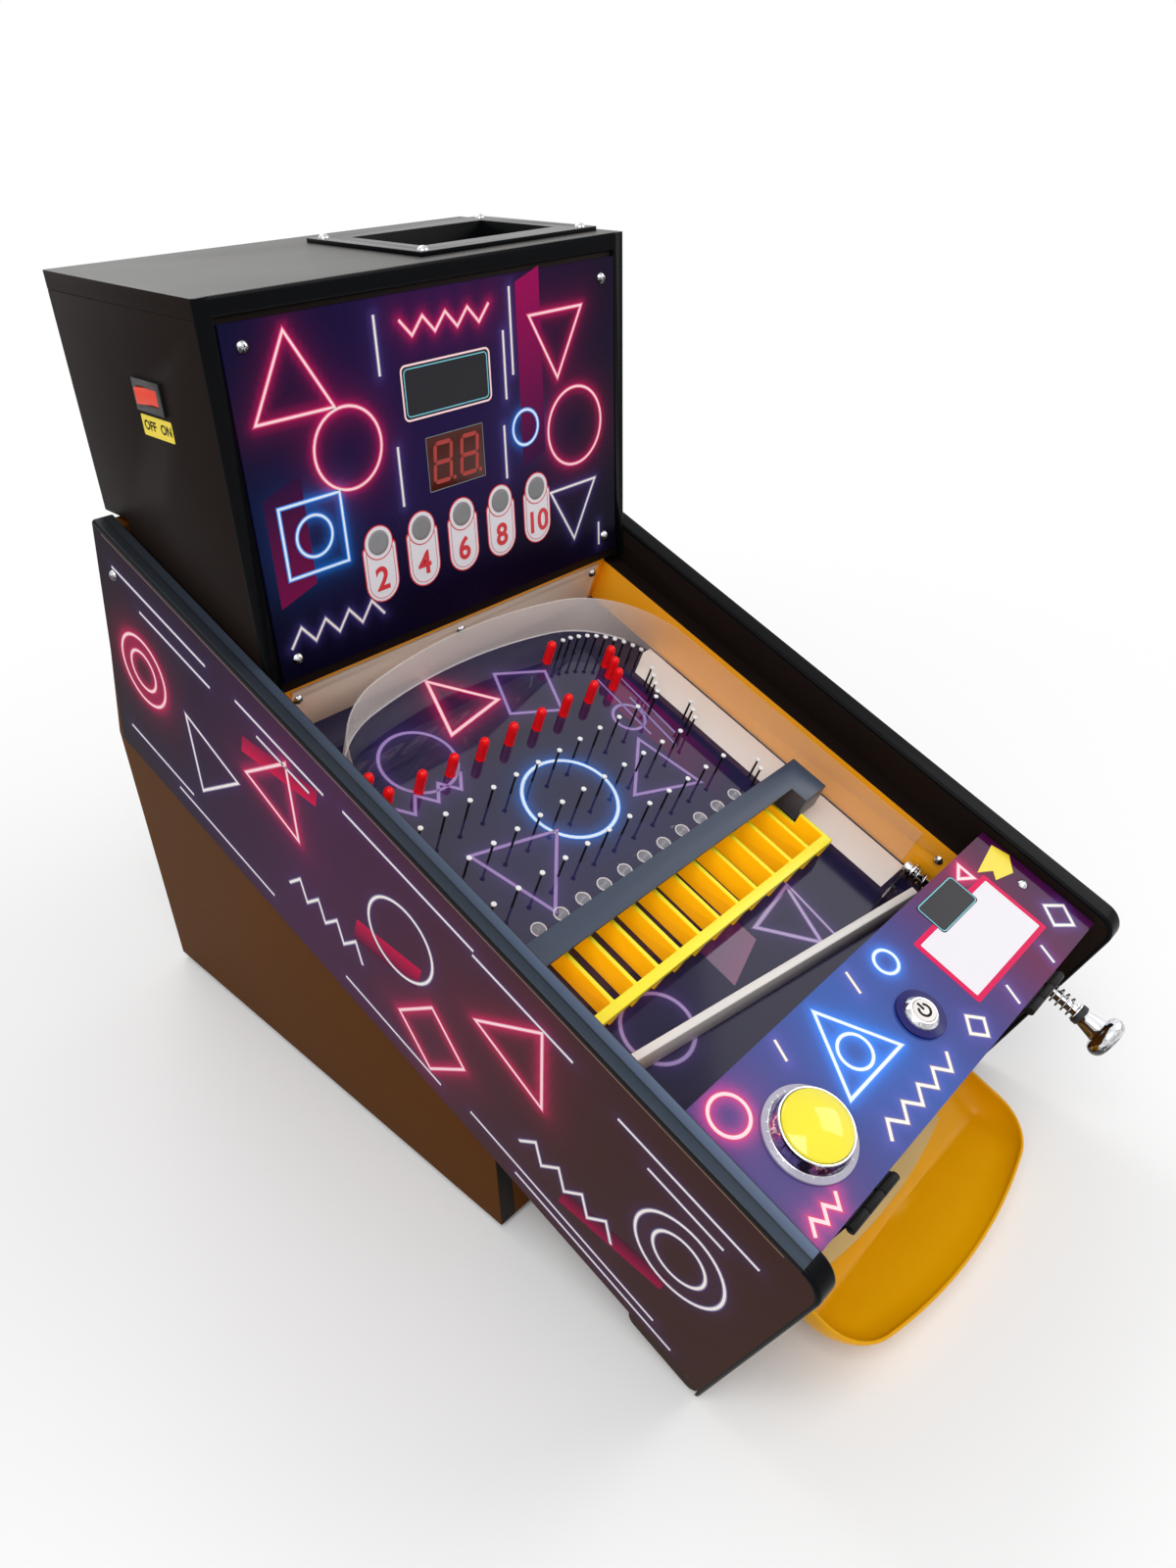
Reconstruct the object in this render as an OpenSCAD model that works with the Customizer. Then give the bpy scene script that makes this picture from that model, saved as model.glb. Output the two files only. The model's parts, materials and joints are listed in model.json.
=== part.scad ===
// Tabletop marble arcade game: a sloped playfield between two printed sides, a head box at the
// rear, a hinged control panel, a spring plunger and a ball tray at the front.
// Frame: X to the right, Y to the rear, Z up, origin on the floor under the middle of the part.
// Places on the deck are given as s, the way down the slope from its rear top corner, and n, the
// depth square to the slope under the deck's top edge.

/* [Cabinet] */
// Overall width over the printed side plates
cab_w = 400; // [385:1:420]
// Thickness of the side boards
side_t = 14; // [12:0.5:16]
// Thickness of the printed side plates
plate_t = 3; // [2:0.5:4]
// Thickness of the other boards
board_t = 12; // [9:0.5:14]
// Angle of the deck above the horizontal
slope = 21.84; // [20:0.01:23]
// Length of the deck along its top edge
deck_len = 699; // [680:1:720]
// Height of the side plates at their front end
deck_front_h = 195; // [188:1:205]
// Height of the side plates at their rear end
deck_rear_h = 207; // [200:1:215]
// How far the side boards' front toes reach below the plates
toe_h = 16; // [10:0.5:17]
// Length of the front toes
toe_l = 63; // [40:1:90]
// Radius of the toes' corners
toe_r = 8; // [4:0.5:9]
// How far the rear edge of the plates leans out at its foot
rear_lean = 23.7; // [15:0.1:30]
// Radius of the deck's front corners
corner_r = 14; // [8:0.5:20]
// Height of the deck's rear top corner over the underside of the base
deck_z = 452; // [445:1:465]
// Distance of that corner from the rear face of the base
deck_back = 68; // [60:1:76]
// Depth of the base from front to rear
base_d = 457; // [440:1:475]
// Height of the upright rear edge of the side boards
back_h = 251; // [240:1:260]
// Thickness of the edge moulding
trim_t = 3; // [2:0.25:4]
// Height of the moulding's square edge under its rounding
trim_edge = 0.5; // [0.25:0.25:1]
// Height of the rubber feet
foot_h = 6; // [4:0.5:10]
// Radius of the rubber feet
foot_r = 12; // [8:0.5:15]
// Distance of the feet from the edges of the base floor
foot_inset = 24; // [18:1:40]

/* [Head] */
// Distance of the head's front boards from the rear face of the base
head_front = 241; // [235:1:247]
// Distance of the head's rear from the rear face of the base
head_rear = 56; // [50:1:60]
// Height of the head's lower edge over the underside of the base
head_bottom = 361.5; // [358:0.5:366]
// Height of the head's top over the underside of the base
head_top_z = 617.3; // [600:0.1:640]
// Thickness of the printed head panel
panel_t = 3; // [2:0.5:4]
// Margin of the printed panel above the head's lower edge
panel_low = 8.5; // [5:0.5:12]
// Height of the printed panel
panel_h = 231.7; // [225:0.1:235]
// Inset of the panel's screws from its edges
panel_screw_in = 14; // [9:0.5:20]
// Width of the display window
display_w = 54.5; // [45:0.5:70]
// Height of the display window
display_h = 39.5; // [30:0.5:50]
// Height of the display's middle over the panel's lower edge
display_up = 117; // [105:1:135]
// Height of the lamp lenses over the panel's lower edge
lamp_up = 75; // [60:1:82]
// Radius of the lamp lenses
lamp_r = 9; // [6:0.5:11]
// Pitch of the lamp lenses
lamp_pitch = 39; // [30:0.5:42]
// Number of lamp lenses
lamp_n = 5; // [3:1:7]
// Width of the insert tray's flange
insert_w = 174; // [160:1:190]
// Depth of the insert tray's flange
insert_d = 132; // [120:1:140]
// Width of the insert tray's opening
mouth_w = 130; // [110:1:140]
// Depth of the insert tray's opening
mouth_d = 82; // [70:1:95]
// Depth of the insert tray's recess
mouth_h = 30; // [20:1:40]
// Radius of the ball hole in the insert tray
ball_hole_r = 13; // [10:0.5:16]
// Wall of the insert tray
insert_t = 3; // [2:0.25:4]
// Height of the rocker switch over the underside of the base
rocker_z = 553; // [530:1:575]
// Distance of the rocker switch from the rear face of the base
rocker_y = 168; // [140:1:190]
// Length of the rocker paddle
paddle_l = 22.8; // [18:0.2:26]
// Width of the rocker paddle
paddle_w = 10.4; // [8:0.2:14]
// Tilt of the rocker paddle either side of level
paddle_tilt = 9; // [6:0.5:11]

/* [Playfield] */
// Depth of the playfield's surface under the deck's top edge
play_n = 71; // [66:0.5:78]
// Thickness of the printed playfield sheet
sheet_t = 2; // [1:0.5:3]
// Thickness of the side and rear liners
liner_t = 14; // [10:0.5:18]
// Depth of the liners' upper ledge under the deck's top edge
ledge_n = 29; // [26:0.5:34]
// Space between the head's front board and the rear liner
wall_gap = 5.4; // [3:0.1:8]
// Thickness of the rear cover plate
cover_t = 2; // [1.5:0.25:3]
// Side margin of the rear cover plate
cover_margin = 9; // [5:0.5:14]
// Height of the clear arch strip
strip_h = 37; // [30:0.5:40]
// Thickness of the clear arch strip
strip_t = 1.5; // [1:0.25:2.5]
// Radius of the arch's crown
crown_r = 433; // [380:1:500]
// Half angle of the arch's crown
crown_a = 12.9; // [11:0.1:14]
// Width of the launch lane
lane_w = 45; // [40:0.5:50]
// Height of the nails
nail_h = 22; // [16:0.5:24]
// Radius of the nails
nail_r = 0.9; // [0.7:0.05:1.2]
// Radius of the nail heads
nail_head_r = 2; // [1.6:0.1:2.4]
// Pitch of the nails in a row
nail_pitch = 22.85; // [20:0.05:23.5]
// Most nails in a long row
nail_n = 12; // [9:1:12]
// Distance between the rows of nails
row_pitch = 38.3; // [32:0.1:40]
// Distance of the first row of nails from the slot lenses
row_gap = 24.9; // [18:0.1:30]
// Height of the red pin caps
cap_h = 22.5; // [17:0.5:23.5]
// Radius of the red pin caps
cap_r = 4.1; // [3.3:0.1:4.4]
// Pitch of the pin caps
cap_pitch = 30.4; // [28:0.1:31]
// Most pin caps in the row
cap_n = 9; // [6:1:9]
// Distance of the cap row from the arch's crown
cap_back = 90.4; // [84:0.2:96]
// Most ball slots
slot_n = 12; // [10:1:12]
// Pitch of the ball slots
slot_pitch = 22.3; // [20:0.1:23]
// Thickness of the slot walls
slot_wall = 3.4; // [2.5:0.1:4.5]
// Height of the slot divider
slot_h = 21; // [18:0.5:24]
// Radius of the lenses in front of the slots
lens_r = 6; // [4.5:0.25:7]
// Distance of the slot lenses from the front board's outer face
lens_front = 261.5; // [260:0.5:264]
// Depth of the slot bridge's top under the deck's top edge
bridge_n = 36; // [33:0.5:38]
// Width of the slot bridge, and depth of its rear wall
bridge_t = 19.5; // [14:0.5:21]
// Distance of the slot bridge's rear face from the front board's outer face
bridge_front = 246; // [244:0.5:248]
// Distance of the slot divider's front bar from the front board's outer face
slot_front = 178; // [174:0.5:184]
// Height of the return rail
rail_h = 18.5; // [14:0.5:21]
// Thickness of the return rail
rail_t = 6; // [4:0.5:8]
// Angle of the return rail across the deck
rail_a = 8.3; // [6:0.1:10]
// Distance of the return rail's left end from the front board's outer face
rail_front = 156; // [152:1:162]
// Distance of the arch strip's right end from the front board's outer face
strip_front = 134; // [126:1:150]

/* [Control panel] */
// Distance of the front board's outer face from the deck's front end
face_inset = 13; // [9:0.5:18]
// Depth of the control panel's face under the deck's top edge
ctrl_n = 6; // [4:0.5:8]
// Thickness of the control panel
ctrl_t = 3; // [2:0.5:4]
// Length of the control panel down the slope
ctrl_len = 101; // [95:1:110]
// Distance of the buttons from the front board's outer face
button_s = 45; // [42:0.5:54]
// Sideways place of the dome button
dome_x = -130; // [-140:1:-115]
// Radius of the dome button's flange
dome_r = 30; // [26:0.5:33]
// Radius of the dome button's cap
dome_cap_r = 22.2; // [19:0.1:23]
// Travel of the dome button
dome_travel = 4; // [2:0.25:5]
// Sideways place of the power button
power_x = -3; // [-20:1:15]
// Radius of the power button's ring
power_r = 17.5; // [15:0.5:20]
// Radius of the power button's cap
power_cap_r = 8; // [6.5:0.1:8.4]
// Travel of the power button
power_travel = 2.5; // [1.5:0.25:3]
// Length of each hinge
hinge_l = 48; // [36:1:54]
// Radius of the hinge knuckles
knuckle_r = 3; // [2.5:0.1:3.2]
// Radius of the hinge pins
pin_r = 1.4; // [1:0.05:1.6]
// Sideways place of the left hinge's middle
hinge_left_x = -131; // [-140:1:-120]
// Sideways place of the right hinge's middle
hinge_right_x = 92; // [86:1:104]

/* [Plunger] */
// Distance of the plunger's axis from the right liner
plunger_in = 11; // [10:0.25:14]
// Height of the plunger's axis over the playfield
plunger_up = 9.5; // [9.2:0.1:12]
// Radius of the plunger rod
rod_r = 4; // [3:0.1:4.4]
// Travel of the plunger
pull = 30; // [20:1:34]
// Length of the outer spring
outer_l = 27; // [22:0.5:32]
// Curls of the outer spring
outer_curls = 5; // [3:1:6]
// Length of the inner spring
inner_l = 98; // [85:1:100]
// Curls of the inner spring
inner_curls = 15; // [8:1:17]
// Diameter of the spring wire
wire_d = 1.4; // [1:0.1:1.5]
// Mean radius of the springs
spring_r = 6.6; // [6:0.1:7]
// Length of the rubber ring
ring_l = 4.5; // [4:0.5:8]
// Length of the ferrule behind the knob
ferrule_l = 14.25; // [11:0.25:18]
// Radius of the ferrule at the rubber ring
ferrule_r = 6.7; // [5.5:0.1:7.5]
// Radius of the ferrule at the knob
ferrule_end_r = 9.4; // [7.5:0.1:9.8]
// Radius of the knob
knob_r = 16.5; // [14.5:0.5:18]
// Thickness of the knob
knob_t = 13; // [9:0.5:14]

/* [Tray] */
// Half width of the ball tray
tray_w = 126; // [112:1:132]
// How far the ball tray stands out from the front board
tray_out = 88.5; // [75:0.5:95]
// Depth of the tray's rim under the deck's top edge
tray_n = 150; // [146:0.5:153]
// Depth of the ball tray at the front board
tray_h = 18; // [14:0.5:20]
// Distance of the fold in the ball tray's floor from the front board
tray_fold = 35; // [30:1:42]
// Height of the ball tray's wall at the middle of its front
tray_lip = 6; // [4:0.5:10]
// Wall of the ball tray
tray_t = 2.5; // [2:0.25:3.5]
// Radius of the tray's front corners
tray_r = 38; // [24:1:44]
// Radius of the tray's bowed front
tray_bow = 400; // [340:5:700]
// Thickness of the ball ramp
ramp_t = 4; // [3:0.5:6]
// How far the ball ramp's tongue reaches out over the tray
ramp_out = 26; // [18:1:32]

/* [Fits] */
// Clearance between pieces that move past each other
slip = 0.3; // [0.25:0.05:0.5]
// Clearance of shafts and pins in their bores
run_fit = 0.05; // [0.03:0.01:0.1]
// Clearance of pieces that are set into holes
set_fit = 0.2; // [0.1:0.05:0.4]
// Radius of the screw heads
screw_r = 4.2; // [3.4:0.1:5]
// Radius of the screw shanks
shank_r = 1.7; // [1.3:0.1:2]
// Height of the screw heads
screw_h = 2.8; // [2:0.1:3.4]

/* [Hidden] */
$fn = 48;
eps = 0.01;

// Directions of the deck
ca = cos(slope);
sa = sin(slope);

// Half widths of the cabinet, from the outer plates inwards
board_x = cab_w / 2 - plate_t;
in_x = board_x - side_t;
head_x = in_x - board_t;
wall_x = in_x - liner_t;

// Places down the slope
face_s = deck_len - face_inset;
inner_face_s = face_s - board_t;
wall_s = (head_front - board_t - deck_back) * ca + (deck_z - head_bottom) * sa + wall_gap;
ctrl_front_s = face_s - slip;
ctrl_rear_s = ctrl_front_s - ctrl_len;
lens_s = face_s - lens_front;
bridge_s = face_s - bridge_front;
slot_front_s = face_s - slot_front;
rail_left_s = face_s - rail_front;

// Depths under the deck's top edge
sheet_n = play_n + sheet_t;
play_under_n = sheet_n + board_t;
belly_n = deck_front_h - board_t;
toe_n = deck_front_h + toe_h;
floor_n = ctrl_n + ctrl_t;

// Sideways places on the playfield
lane_x = wall_x - lane_w;
field_x = (lane_x - wall_x) / 2;

// Slots that fit side by side between the left liner and the launch lane
field_w = wall_x + lane_x;
slot_margin = 11.5;
slots = min(slot_n, floor((field_w - 2 * slot_margin) / slot_pitch));

// Clear arch: a crown and two corners that run into the straight sides
strip_s = wall_s + cover_t + screw_h + slip;
arch_x = wall_x - slip;
crown_s = strip_s + crown_r;
corner_arc = (arch_x - crown_r * sin(crown_a)) / (1 - sin(crown_a));
corner_x = (crown_r - corner_arc) * sin(crown_a);
corner_s = crown_s - (crown_r - corner_arc) * cos(crown_a);
strip_end_left = bridge_s - 8;
strip_end_right = face_s - strip_front;
cap_s = strip_s + cap_back;

// Plunger stations along its axis
plunger_x = wall_x - plunger_in;
plunger_n = play_n - plunger_up;
nose_l = 6;
nut_l = 5;
bush_in = 10;
outer_s = face_s + nose_l;
ring_s = outer_s + outer_l;
washer_l = 1.5;
ring_r = spring_r + wire_d / 2 + 0.6;
ferrule_s = ring_s + washer_l + ring_l;
knob_s = ferrule_s + ferrule_l;
inner_end_s = inner_face_s - bush_in;
collar_s = inner_end_s - inner_l;
collar_l = 2;
tip_l = 9;
bush_r = 8;
flange_r = 14;
flange_t = 2;

// Overall depth, from the knob's rim to the power inlet's flange
inlet_t = 2;
knob_rim = knob_t / 2;
front_reach = deck_back + (knob_s + knob_rim) * ca - plunger_n * sa
  + (knob_r - knob_rim) * sa + knob_rim;
rear_y = (front_reach - inlet_t) / 2;

// Head
head_top_in = head_top_z - board_t;
panel_z = head_bottom + panel_low;
panel_x = head_x - 2 * set_fit;
insert_x = head_x - insert_w / 2 + 5;
insert_y = -head_front + 19 + insert_d / 2;
hopper_z = head_top_in - mouth_h - 36;

// Dispenser under the hopper
wheel_x = 60;
wheel_y = -150;
wheel_r = 40;
wheel_h = 14;
wheel_z = hopper_z - 136;
cup_gap = 2;
cup_t = 3;
shaft_r = 3;

// Hinge line of the control panel
hinge_s = face_s + 4;
hinge_n = ctrl_n + 1.5;
leaf_t = 1.6;

// Cabinet frame: Y from the rear face of the base, Z from its underside
module cab() {
  translate([0, rear_y, foot_h]) children();
}

// Deck frame: X across, local Y up the slope, local Z square to the deck
module deck() {
  cab() translate([0, -deck_back, deck_z]) rotate([slope, 0, 0]) children();
}

// A box on the deck between two places across, down the slope and in depth
module deck_box(x, s, n) {
  translate([x[0], -s[1], -n[1]]) cube([x[1] - x[0], s[1] - s[0], n[1] - n[0]]);
}

// A box in the cabinet frame between two corners
module cab_box(x, y, z) {
  translate([x[0], y[0], z[0]]) cube([x[1] - x[0], y[1] - y[0], z[1] - z[0]]);
}

// Children stand on the deck at a depth n, with their axis square to it
module stand(x, s, n) {
  translate([x, -s, -n]) children();
}

// Children lie along the slope, with their axis pointing to the front
module lie(x, s, n) {
  translate([x, -s, -n]) rotate([90, 0, 0]) children();
}

// A profile in the side plane, given some thickness across
module across(x0, t) {
  translate([x0, 0, 0]) rotate([90, 0, 90]) linear_extrude(t) children();
}

// One round corner of the deck's outline, cut from a square corner
module corner_cut(r) {
  difference() {
    translate([-eps, -eps]) square(r + eps);
    translate([r, r]) circle(r);
  }
}

// Outline of the sloped deck side
module deck_outline() {
  difference() {
    polygon([[0, 0], [-rear_lean, -deck_rear_h], [-deck_len, -deck_front_h], [-deck_len, 0]]);
    translate([-deck_len, 0]) mirror([0, 1]) corner_cut(corner_r);
  }
}

// Outline of the toe under the deck's front end
module toe_outline() {
  difference() {
    translate([-deck_len, -toe_n]) square([toe_l, toe_h + corner_r]);
    translate([-deck_len, -toe_n]) corner_cut(toe_r);
    translate([-deck_len + toe_l, -toe_n]) mirror([1, 0]) corner_cut(toe_r);
  }
}

// Outline of a whole side board: the deck side, its toe and the base
module side_outline() {
  inner_z = deck_z - (base_d - deck_back) * tan(slope) - 30;
  polygon([[0, 0], [0, back_h], [-deck_back, deck_z], [-base_d, inner_z], [-base_d, 0]]);
  translate([-deck_back, deck_z]) rotate(slope) {
    deck_outline();
    toe_outline();
  }
}

module side_board(x0) {
  cab() across(x0, side_t) side_outline();
}

// Place of the side plate's screw near the rear top corner
plate_screw = [26, 29];

module side_plate(x0) {
  deck() difference() {
    across(x0, plate_t) deck_outline();
    stand(x0 - 1, plate_screw[0], plate_screw[1])
      rotate([0, 90, 0]) cylinder(h = plate_t + 2, r = shank_r);
  }
}

// Section of the edge moulding, width w: a strip with rounded outer edges, on the X axis
module bead(w) {
  r = trim_t - trim_edge;
  translate([-w / 2, 0]) square([w, trim_edge]);
  translate([r - w / 2, 0]) square([w - 2 * r, trim_t]);
  intersection() {
    for (x = [r - w / 2, w / 2 - r]) translate([x, trim_edge]) circle(r);
    translate([-w / 2, 0]) square([w, trim_t]);
  }
}

// Edge moulding along the deck's top edge and round its front end
module edge_trim(mid_x) {
  w = side_t + plate_t;
  low = toe_n - toe_r;
  deck() translate([mid_x, 0, 0]) {
    translate([0, -deck_len + corner_r, 0]) rotate([90, 0, 180])
      linear_extrude(deck_len - corner_r) bead(w);
    translate([0, -deck_len + corner_r, -corner_r]) rotate([0, 90, 0]) rotate([0, 0, 180])
      rotate_extrude(angle = 90, $fn = 96) translate([corner_r, 0]) rotate(-90) bead(w);
    translate([0, -deck_len, -low])
      linear_extrude(low - corner_r) rotate(180) bead(w);
  }
}

// Head walls: upright boards with a stepped lower rear corner over the back panel
module head_wall(x0) {
  step_z = deck_z + 3;
  step_y = -deck_back - 22;
  cab() difference() {
    across(x0, board_t) polygon([[-head_front, head_bottom], [-head_front, head_top_in],
      [-head_rear, head_top_in], [-head_rear, step_z], [step_y, step_z], [step_y, head_bottom]]);
    children();
  }
}

// Rocker switch frame: local Z points out of the left head wall, local X up
module rocker_place() {
  translate([-in_x, -rocker_y, rocker_z]) rotate([0, -90, 0]) children();
}

// Sizes of the rocker switch's body
rocker_wall = 1.6;
rocker_deep = 16;
rocker_flange = 3;
rocker_lip = 2;
pivot_z = -3;
pivot_r = 1.3;
body_w = paddle_w + 2 * slip + 2 * rocker_wall;
body_l = paddle_l + 6 * slip + 2 * rocker_wall;

module rocker_block(grow, z0, z1) {
  translate([-body_w / 2 - grow, -body_l / 2 - grow, z0])
    cube([body_w + 2 * grow, body_l + 2 * grow, z1 - z0]);
}

module side_left() {
  color("#1b1512") side_board(-board_x);
}

module side_right() {
  color("#1b1512") side_board(in_x);
}

module plate_left() {
  color("#2a1438") side_plate(-cab_w / 2);
}

module plate_right() {
  color("#2a1438") side_plate(board_x);
}

module trim_left() {
  color("#0c0c0e") edge_trim(-cab_w / 2 + (side_t + plate_t) / 2);
}

module trim_right() {
  color("#0c0c0e") edge_trim(cab_w / 2 - (side_t + plate_t) / 2);
}

module head_left() {
  color("#141416") head_wall(-in_x)
    rocker_place() rocker_block(set_fit, -board_t - 1, 1);
}

module head_right() {
  color("#141416") head_wall(head_x);
}

module head_top() {
  color("#232326") cab() difference() {
    cab_box([-in_x, in_x], [-head_front, -head_rear], [head_top_in, head_top_z]);
    translate([insert_x, insert_y, 0]) insert_block(set_fit + insert_t, head_top_in - 1, head_top_z + 1);
  }
}

module head_back() {
  color("#141416") cab()
    cab_box([-head_x, head_x], [-head_rear - board_t, -head_rear], [deck_z + 3, head_top_in]);
}

// Window through the head board and the panel for the display
module display_block(grow, y0, y1) {
  cab_box([-display_w / 2 - grow, display_w / 2 + grow], [y0, y1],
    [panel_z + display_up - display_h / 2 - grow, panel_z + display_up + display_h / 2 + grow]);
}

module head_board() {
  color("#101012") cab() difference() {
    cab_box([-head_x, head_x], [-head_front, -head_front + board_t], [head_bottom, head_top_in]);
    display_block(set_fit, -head_front - 1, -head_front + board_t + 1);
  }
}

// Places of the lamp lenses across the panel
lamp_at = [for (i = [0 : lamp_n - 1]) (i - (lamp_n - 1) / 2) * lamp_pitch];

// Children point forward from the head board's face
module on_head(x, z) {
  translate([x, -head_front, z]) rotate([90, 0, 0]) children();
}

// The four corners of the head panel that take a screw
panel_corners = [for (i = [-1, 1], j = [0, 1])
  [i * (panel_x - panel_screw_in), panel_z + panel_screw_in + j * (panel_h - 2 * panel_screw_in)]];

module head_panel() {
  color("#2b1a4a") cab() difference() {
    cab_box([-panel_x, panel_x], [-head_front - panel_t, -head_front], [panel_z, panel_z + panel_h]);
    display_block(set_fit, -head_front - panel_t - 1, -head_front + 1);
    for (x = lamp_at) on_head(x, panel_z + lamp_up) translate([0, 0, -1])
      cylinder(h = panel_t + 2, r = lamp_r + set_fit);
    for (p = panel_corners) on_head(p[0], p[1]) translate([0, 0, -1])
      cylinder(h = panel_t + 2, r = shank_r);
  }
}

// Moulding on the front edges of the head: two uprights and the top
module head_trim() {
  color("#0c0c0e") cab() translate([0, -head_front, 0]) {
    for (m = [0, 1]) mirror([m, 0, 0]) translate([head_x + board_t / 2, 0, head_bottom])
      linear_extrude(head_top_z - head_bottom) rotate(180) bead(board_t);
    translate([-head_x - board_t / 2, 0, head_top_in + board_t / 2]) rotate([90, 0, 90])
      linear_extrude(2 * head_x + board_t) rotate(90) bead(board_t);
  }
}

module base_front() {
  // Depth of the base front in the slope, where it meets the belly panel
  meet_s = (base_d - deck_back + (belly_n + board_t) * sa) / ca;
  top_z = deck_z - meet_s * sa - (belly_n + board_t) * ca;
  color("#1b1512") cab() cab_box([-in_x, in_x], [-base_d, -base_d + board_t], [0, top_z]);
}

// Place and size of the power inlet's body
inlet_in = 63;
inlet_x = in_x - inlet_in;
inlet_z = 60;
inlet_w = 28;
inlet_h = 20;

module inlet_block(grow, y0, y1) {
  cab_box([inlet_x - inlet_w / 2 - grow, inlet_x + inlet_w / 2 + grow], [y0, y1],
    [inlet_z - inlet_h / 2 - grow, inlet_z + inlet_h / 2 + grow]);
}

// Leaning back panel: thickness measured square to its face
lean = atan2(deck_back, deck_z - back_h);
lean_y = board_t * cos(lean);
lean_z = board_t * sin(lean);

module base_back() {
  color("#1b1512") cab() difference() {
    cab_box([-in_x, in_x], [-board_t, 0], [0, back_h - lean_z]);
    inlet_block(set_fit, -board_t - 1, 1);
  }
}

module base_floor() {
  color("#1b1512") cab()
    cab_box([-in_x, in_x], [-base_d + board_t, -board_t], [0, board_t]);
}

module back_panel() {
  color("#1b1512") cab() across(-in_x, 2 * in_x) polygon([[0, back_h], [-deck_back, deck_z],
    [-deck_back - lean_y, deck_z - lean_z], [-lean_y, back_h - lean_z]]);
}

module belly_panel() {
  // Rear end of the belly, over the base front
  rear_s = (base_d - board_t - deck_back + belly_n * sa) / ca - 20;
  color("#1b1512") deck() deck_box([-in_x, in_x], [rear_s, face_s], [belly_n, belly_n + board_t]);
}

// Ball exit in the front board, over the ramp's tongue
exit_x = [-tray_w + 4, 64];
exit_h = 38;

module front_board() {
  color("#15110f") deck() difference() {
    deck_box([-in_x, in_x], [inner_face_s, face_s], [floor_n + 5, belly_n]);
    deck_box(exit_x, [inner_face_s - 1, face_s + 1], [tray_n - exit_h, tray_n]);
    lie(plunger_x, inner_face_s - 1, plunger_n) cylinder(h = board_t + 2, r = bush_r);
  }
}

module playfield_board() {
  color("#c9a877") deck()
    deck_box([-in_x, in_x], [wall_s - liner_t, inner_face_s], [sheet_n, play_under_n]);
}

// Places of the lenses across the playfield, one for each slot
lens_at = [for (i = [0 : slots - 1]) field_x + (i - (slots - 1) / 2) * slot_pitch];

module playfield_sheet() {
  color("#2c2248") deck() difference() {
    deck_box([-in_x, in_x], [wall_s - liner_t, inner_face_s], [play_n, sheet_n]);
    for (x = lens_at) stand(x, lens_s, sheet_n + 1) cylinder(h = sheet_t + 2, r = lens_r + set_fit);
  }
}

// A side liner: low along the playfield, raised under the control panel
module side_liner(x0) {
  x = [x0, x0 + liner_t];
  deck_box(x, [wall_s - liner_t, inner_face_s], [ledge_n, play_n]);
  deck_box(x, [ctrl_rear_s + 7, inner_face_s], [floor_n + slip, ledge_n + eps]);
}

// Screw on the right liner, just behind the control panel
liner_screw = [ctrl_rear_s - 11, 45];

module liner_left() {
  color("#f5a010") deck() side_liner(-in_x);
}

module liner_right() {
  color("#f5a010") deck() difference() {
    side_liner(wall_x);
    stand(wall_x - 1, liner_screw[0], liner_screw[1])
      rotate([0, 90, 0]) cylinder(h = 1 + panel_t, r = shank_r);
  }
}

module liner_rear() {
  color("#f5a010") deck()
    deck_box([-wall_x, wall_x], [wall_s - liner_t, wall_s], [ledge_n - 3, play_n]);
}

// Screws through the rear cover
cover_screw_n = ledge_n + 8;
cover_screws = [for (i = [-1, 0, 1]) i * (wall_x - cover_margin - 5)];

module rear_cover() {
  color("#e0cdbb") deck() difference() {
    deck_box([cover_margin - wall_x, wall_x - cover_margin], [wall_s, wall_s + cover_t],
      [ledge_n, play_n]);
    for (x = cover_screws) lie(x, wall_s - 1, cover_screw_n) cylinder(h = cover_t + 2, r = shank_r);
  }
}

// Points of the arch from its left foot to its right foot, set in by some amount
crown_steps = 8;
corner_steps = 12;
function corner_pt(a, in) = [corner_x + (corner_arc - in) * sin(a), corner_s - (corner_arc - in) * cos(a)];
function crown_pt(a, in) = [(crown_r - in) * sin(a), crown_s - (crown_r - in) * cos(a)];
function flip(p) = [-p[0], p[1]];
function arch_line(in) = concat(
  [[-arch_x + in, strip_end_left]],
  [for (i = [0 : corner_steps]) flip(corner_pt(90 - i * (90 - crown_a) / corner_steps, in))],
  [for (i = [1 : crown_steps - 1]) crown_pt(crown_a * (2 * i / crown_steps - 1), in)],
  [for (i = [0 : corner_steps]) corner_pt(crown_a + i * (90 - crown_a) / corner_steps, in)],
  [[arch_x - in, strip_end_right]]);
function back_to_front(l) = [for (i = [len(l) - 1 : -1 : 0]) l[i]];

module arch_strip() {
  outline = concat(arch_line(0), back_to_front(arch_line(strip_t)));
  color("#dfe6ea", 0.5) deck() translate([0, 0, -play_n]) linear_extrude(strip_h)
    polygon([for (p = outline) [p[0], -p[1]]]);
}

// A nail: a shaft with a flat head
module nail() {
  cylinder(h = nail_h - 1, r = nail_r, $fn = 24);
  translate([0, 0, nail_h - 1]) cylinder(h = 1, r = nail_head_r, $fn = 24);
}

// Rows across the field, as many as fit between the caps and the lenses, long and short by turns
nail_margin = 18;
row_clear = 30;
rows = floor((lens_s - row_gap - cap_s - row_clear) / row_pitch) + 1;
long_row = min(nail_n, floor((field_w - 2 * nail_margin) / nail_pitch) + 1);
function row_count(k) = long_row - k % 2;
function row_x(i, count) = field_x + (i - (count - 1) / 2) * nail_pitch;

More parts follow.
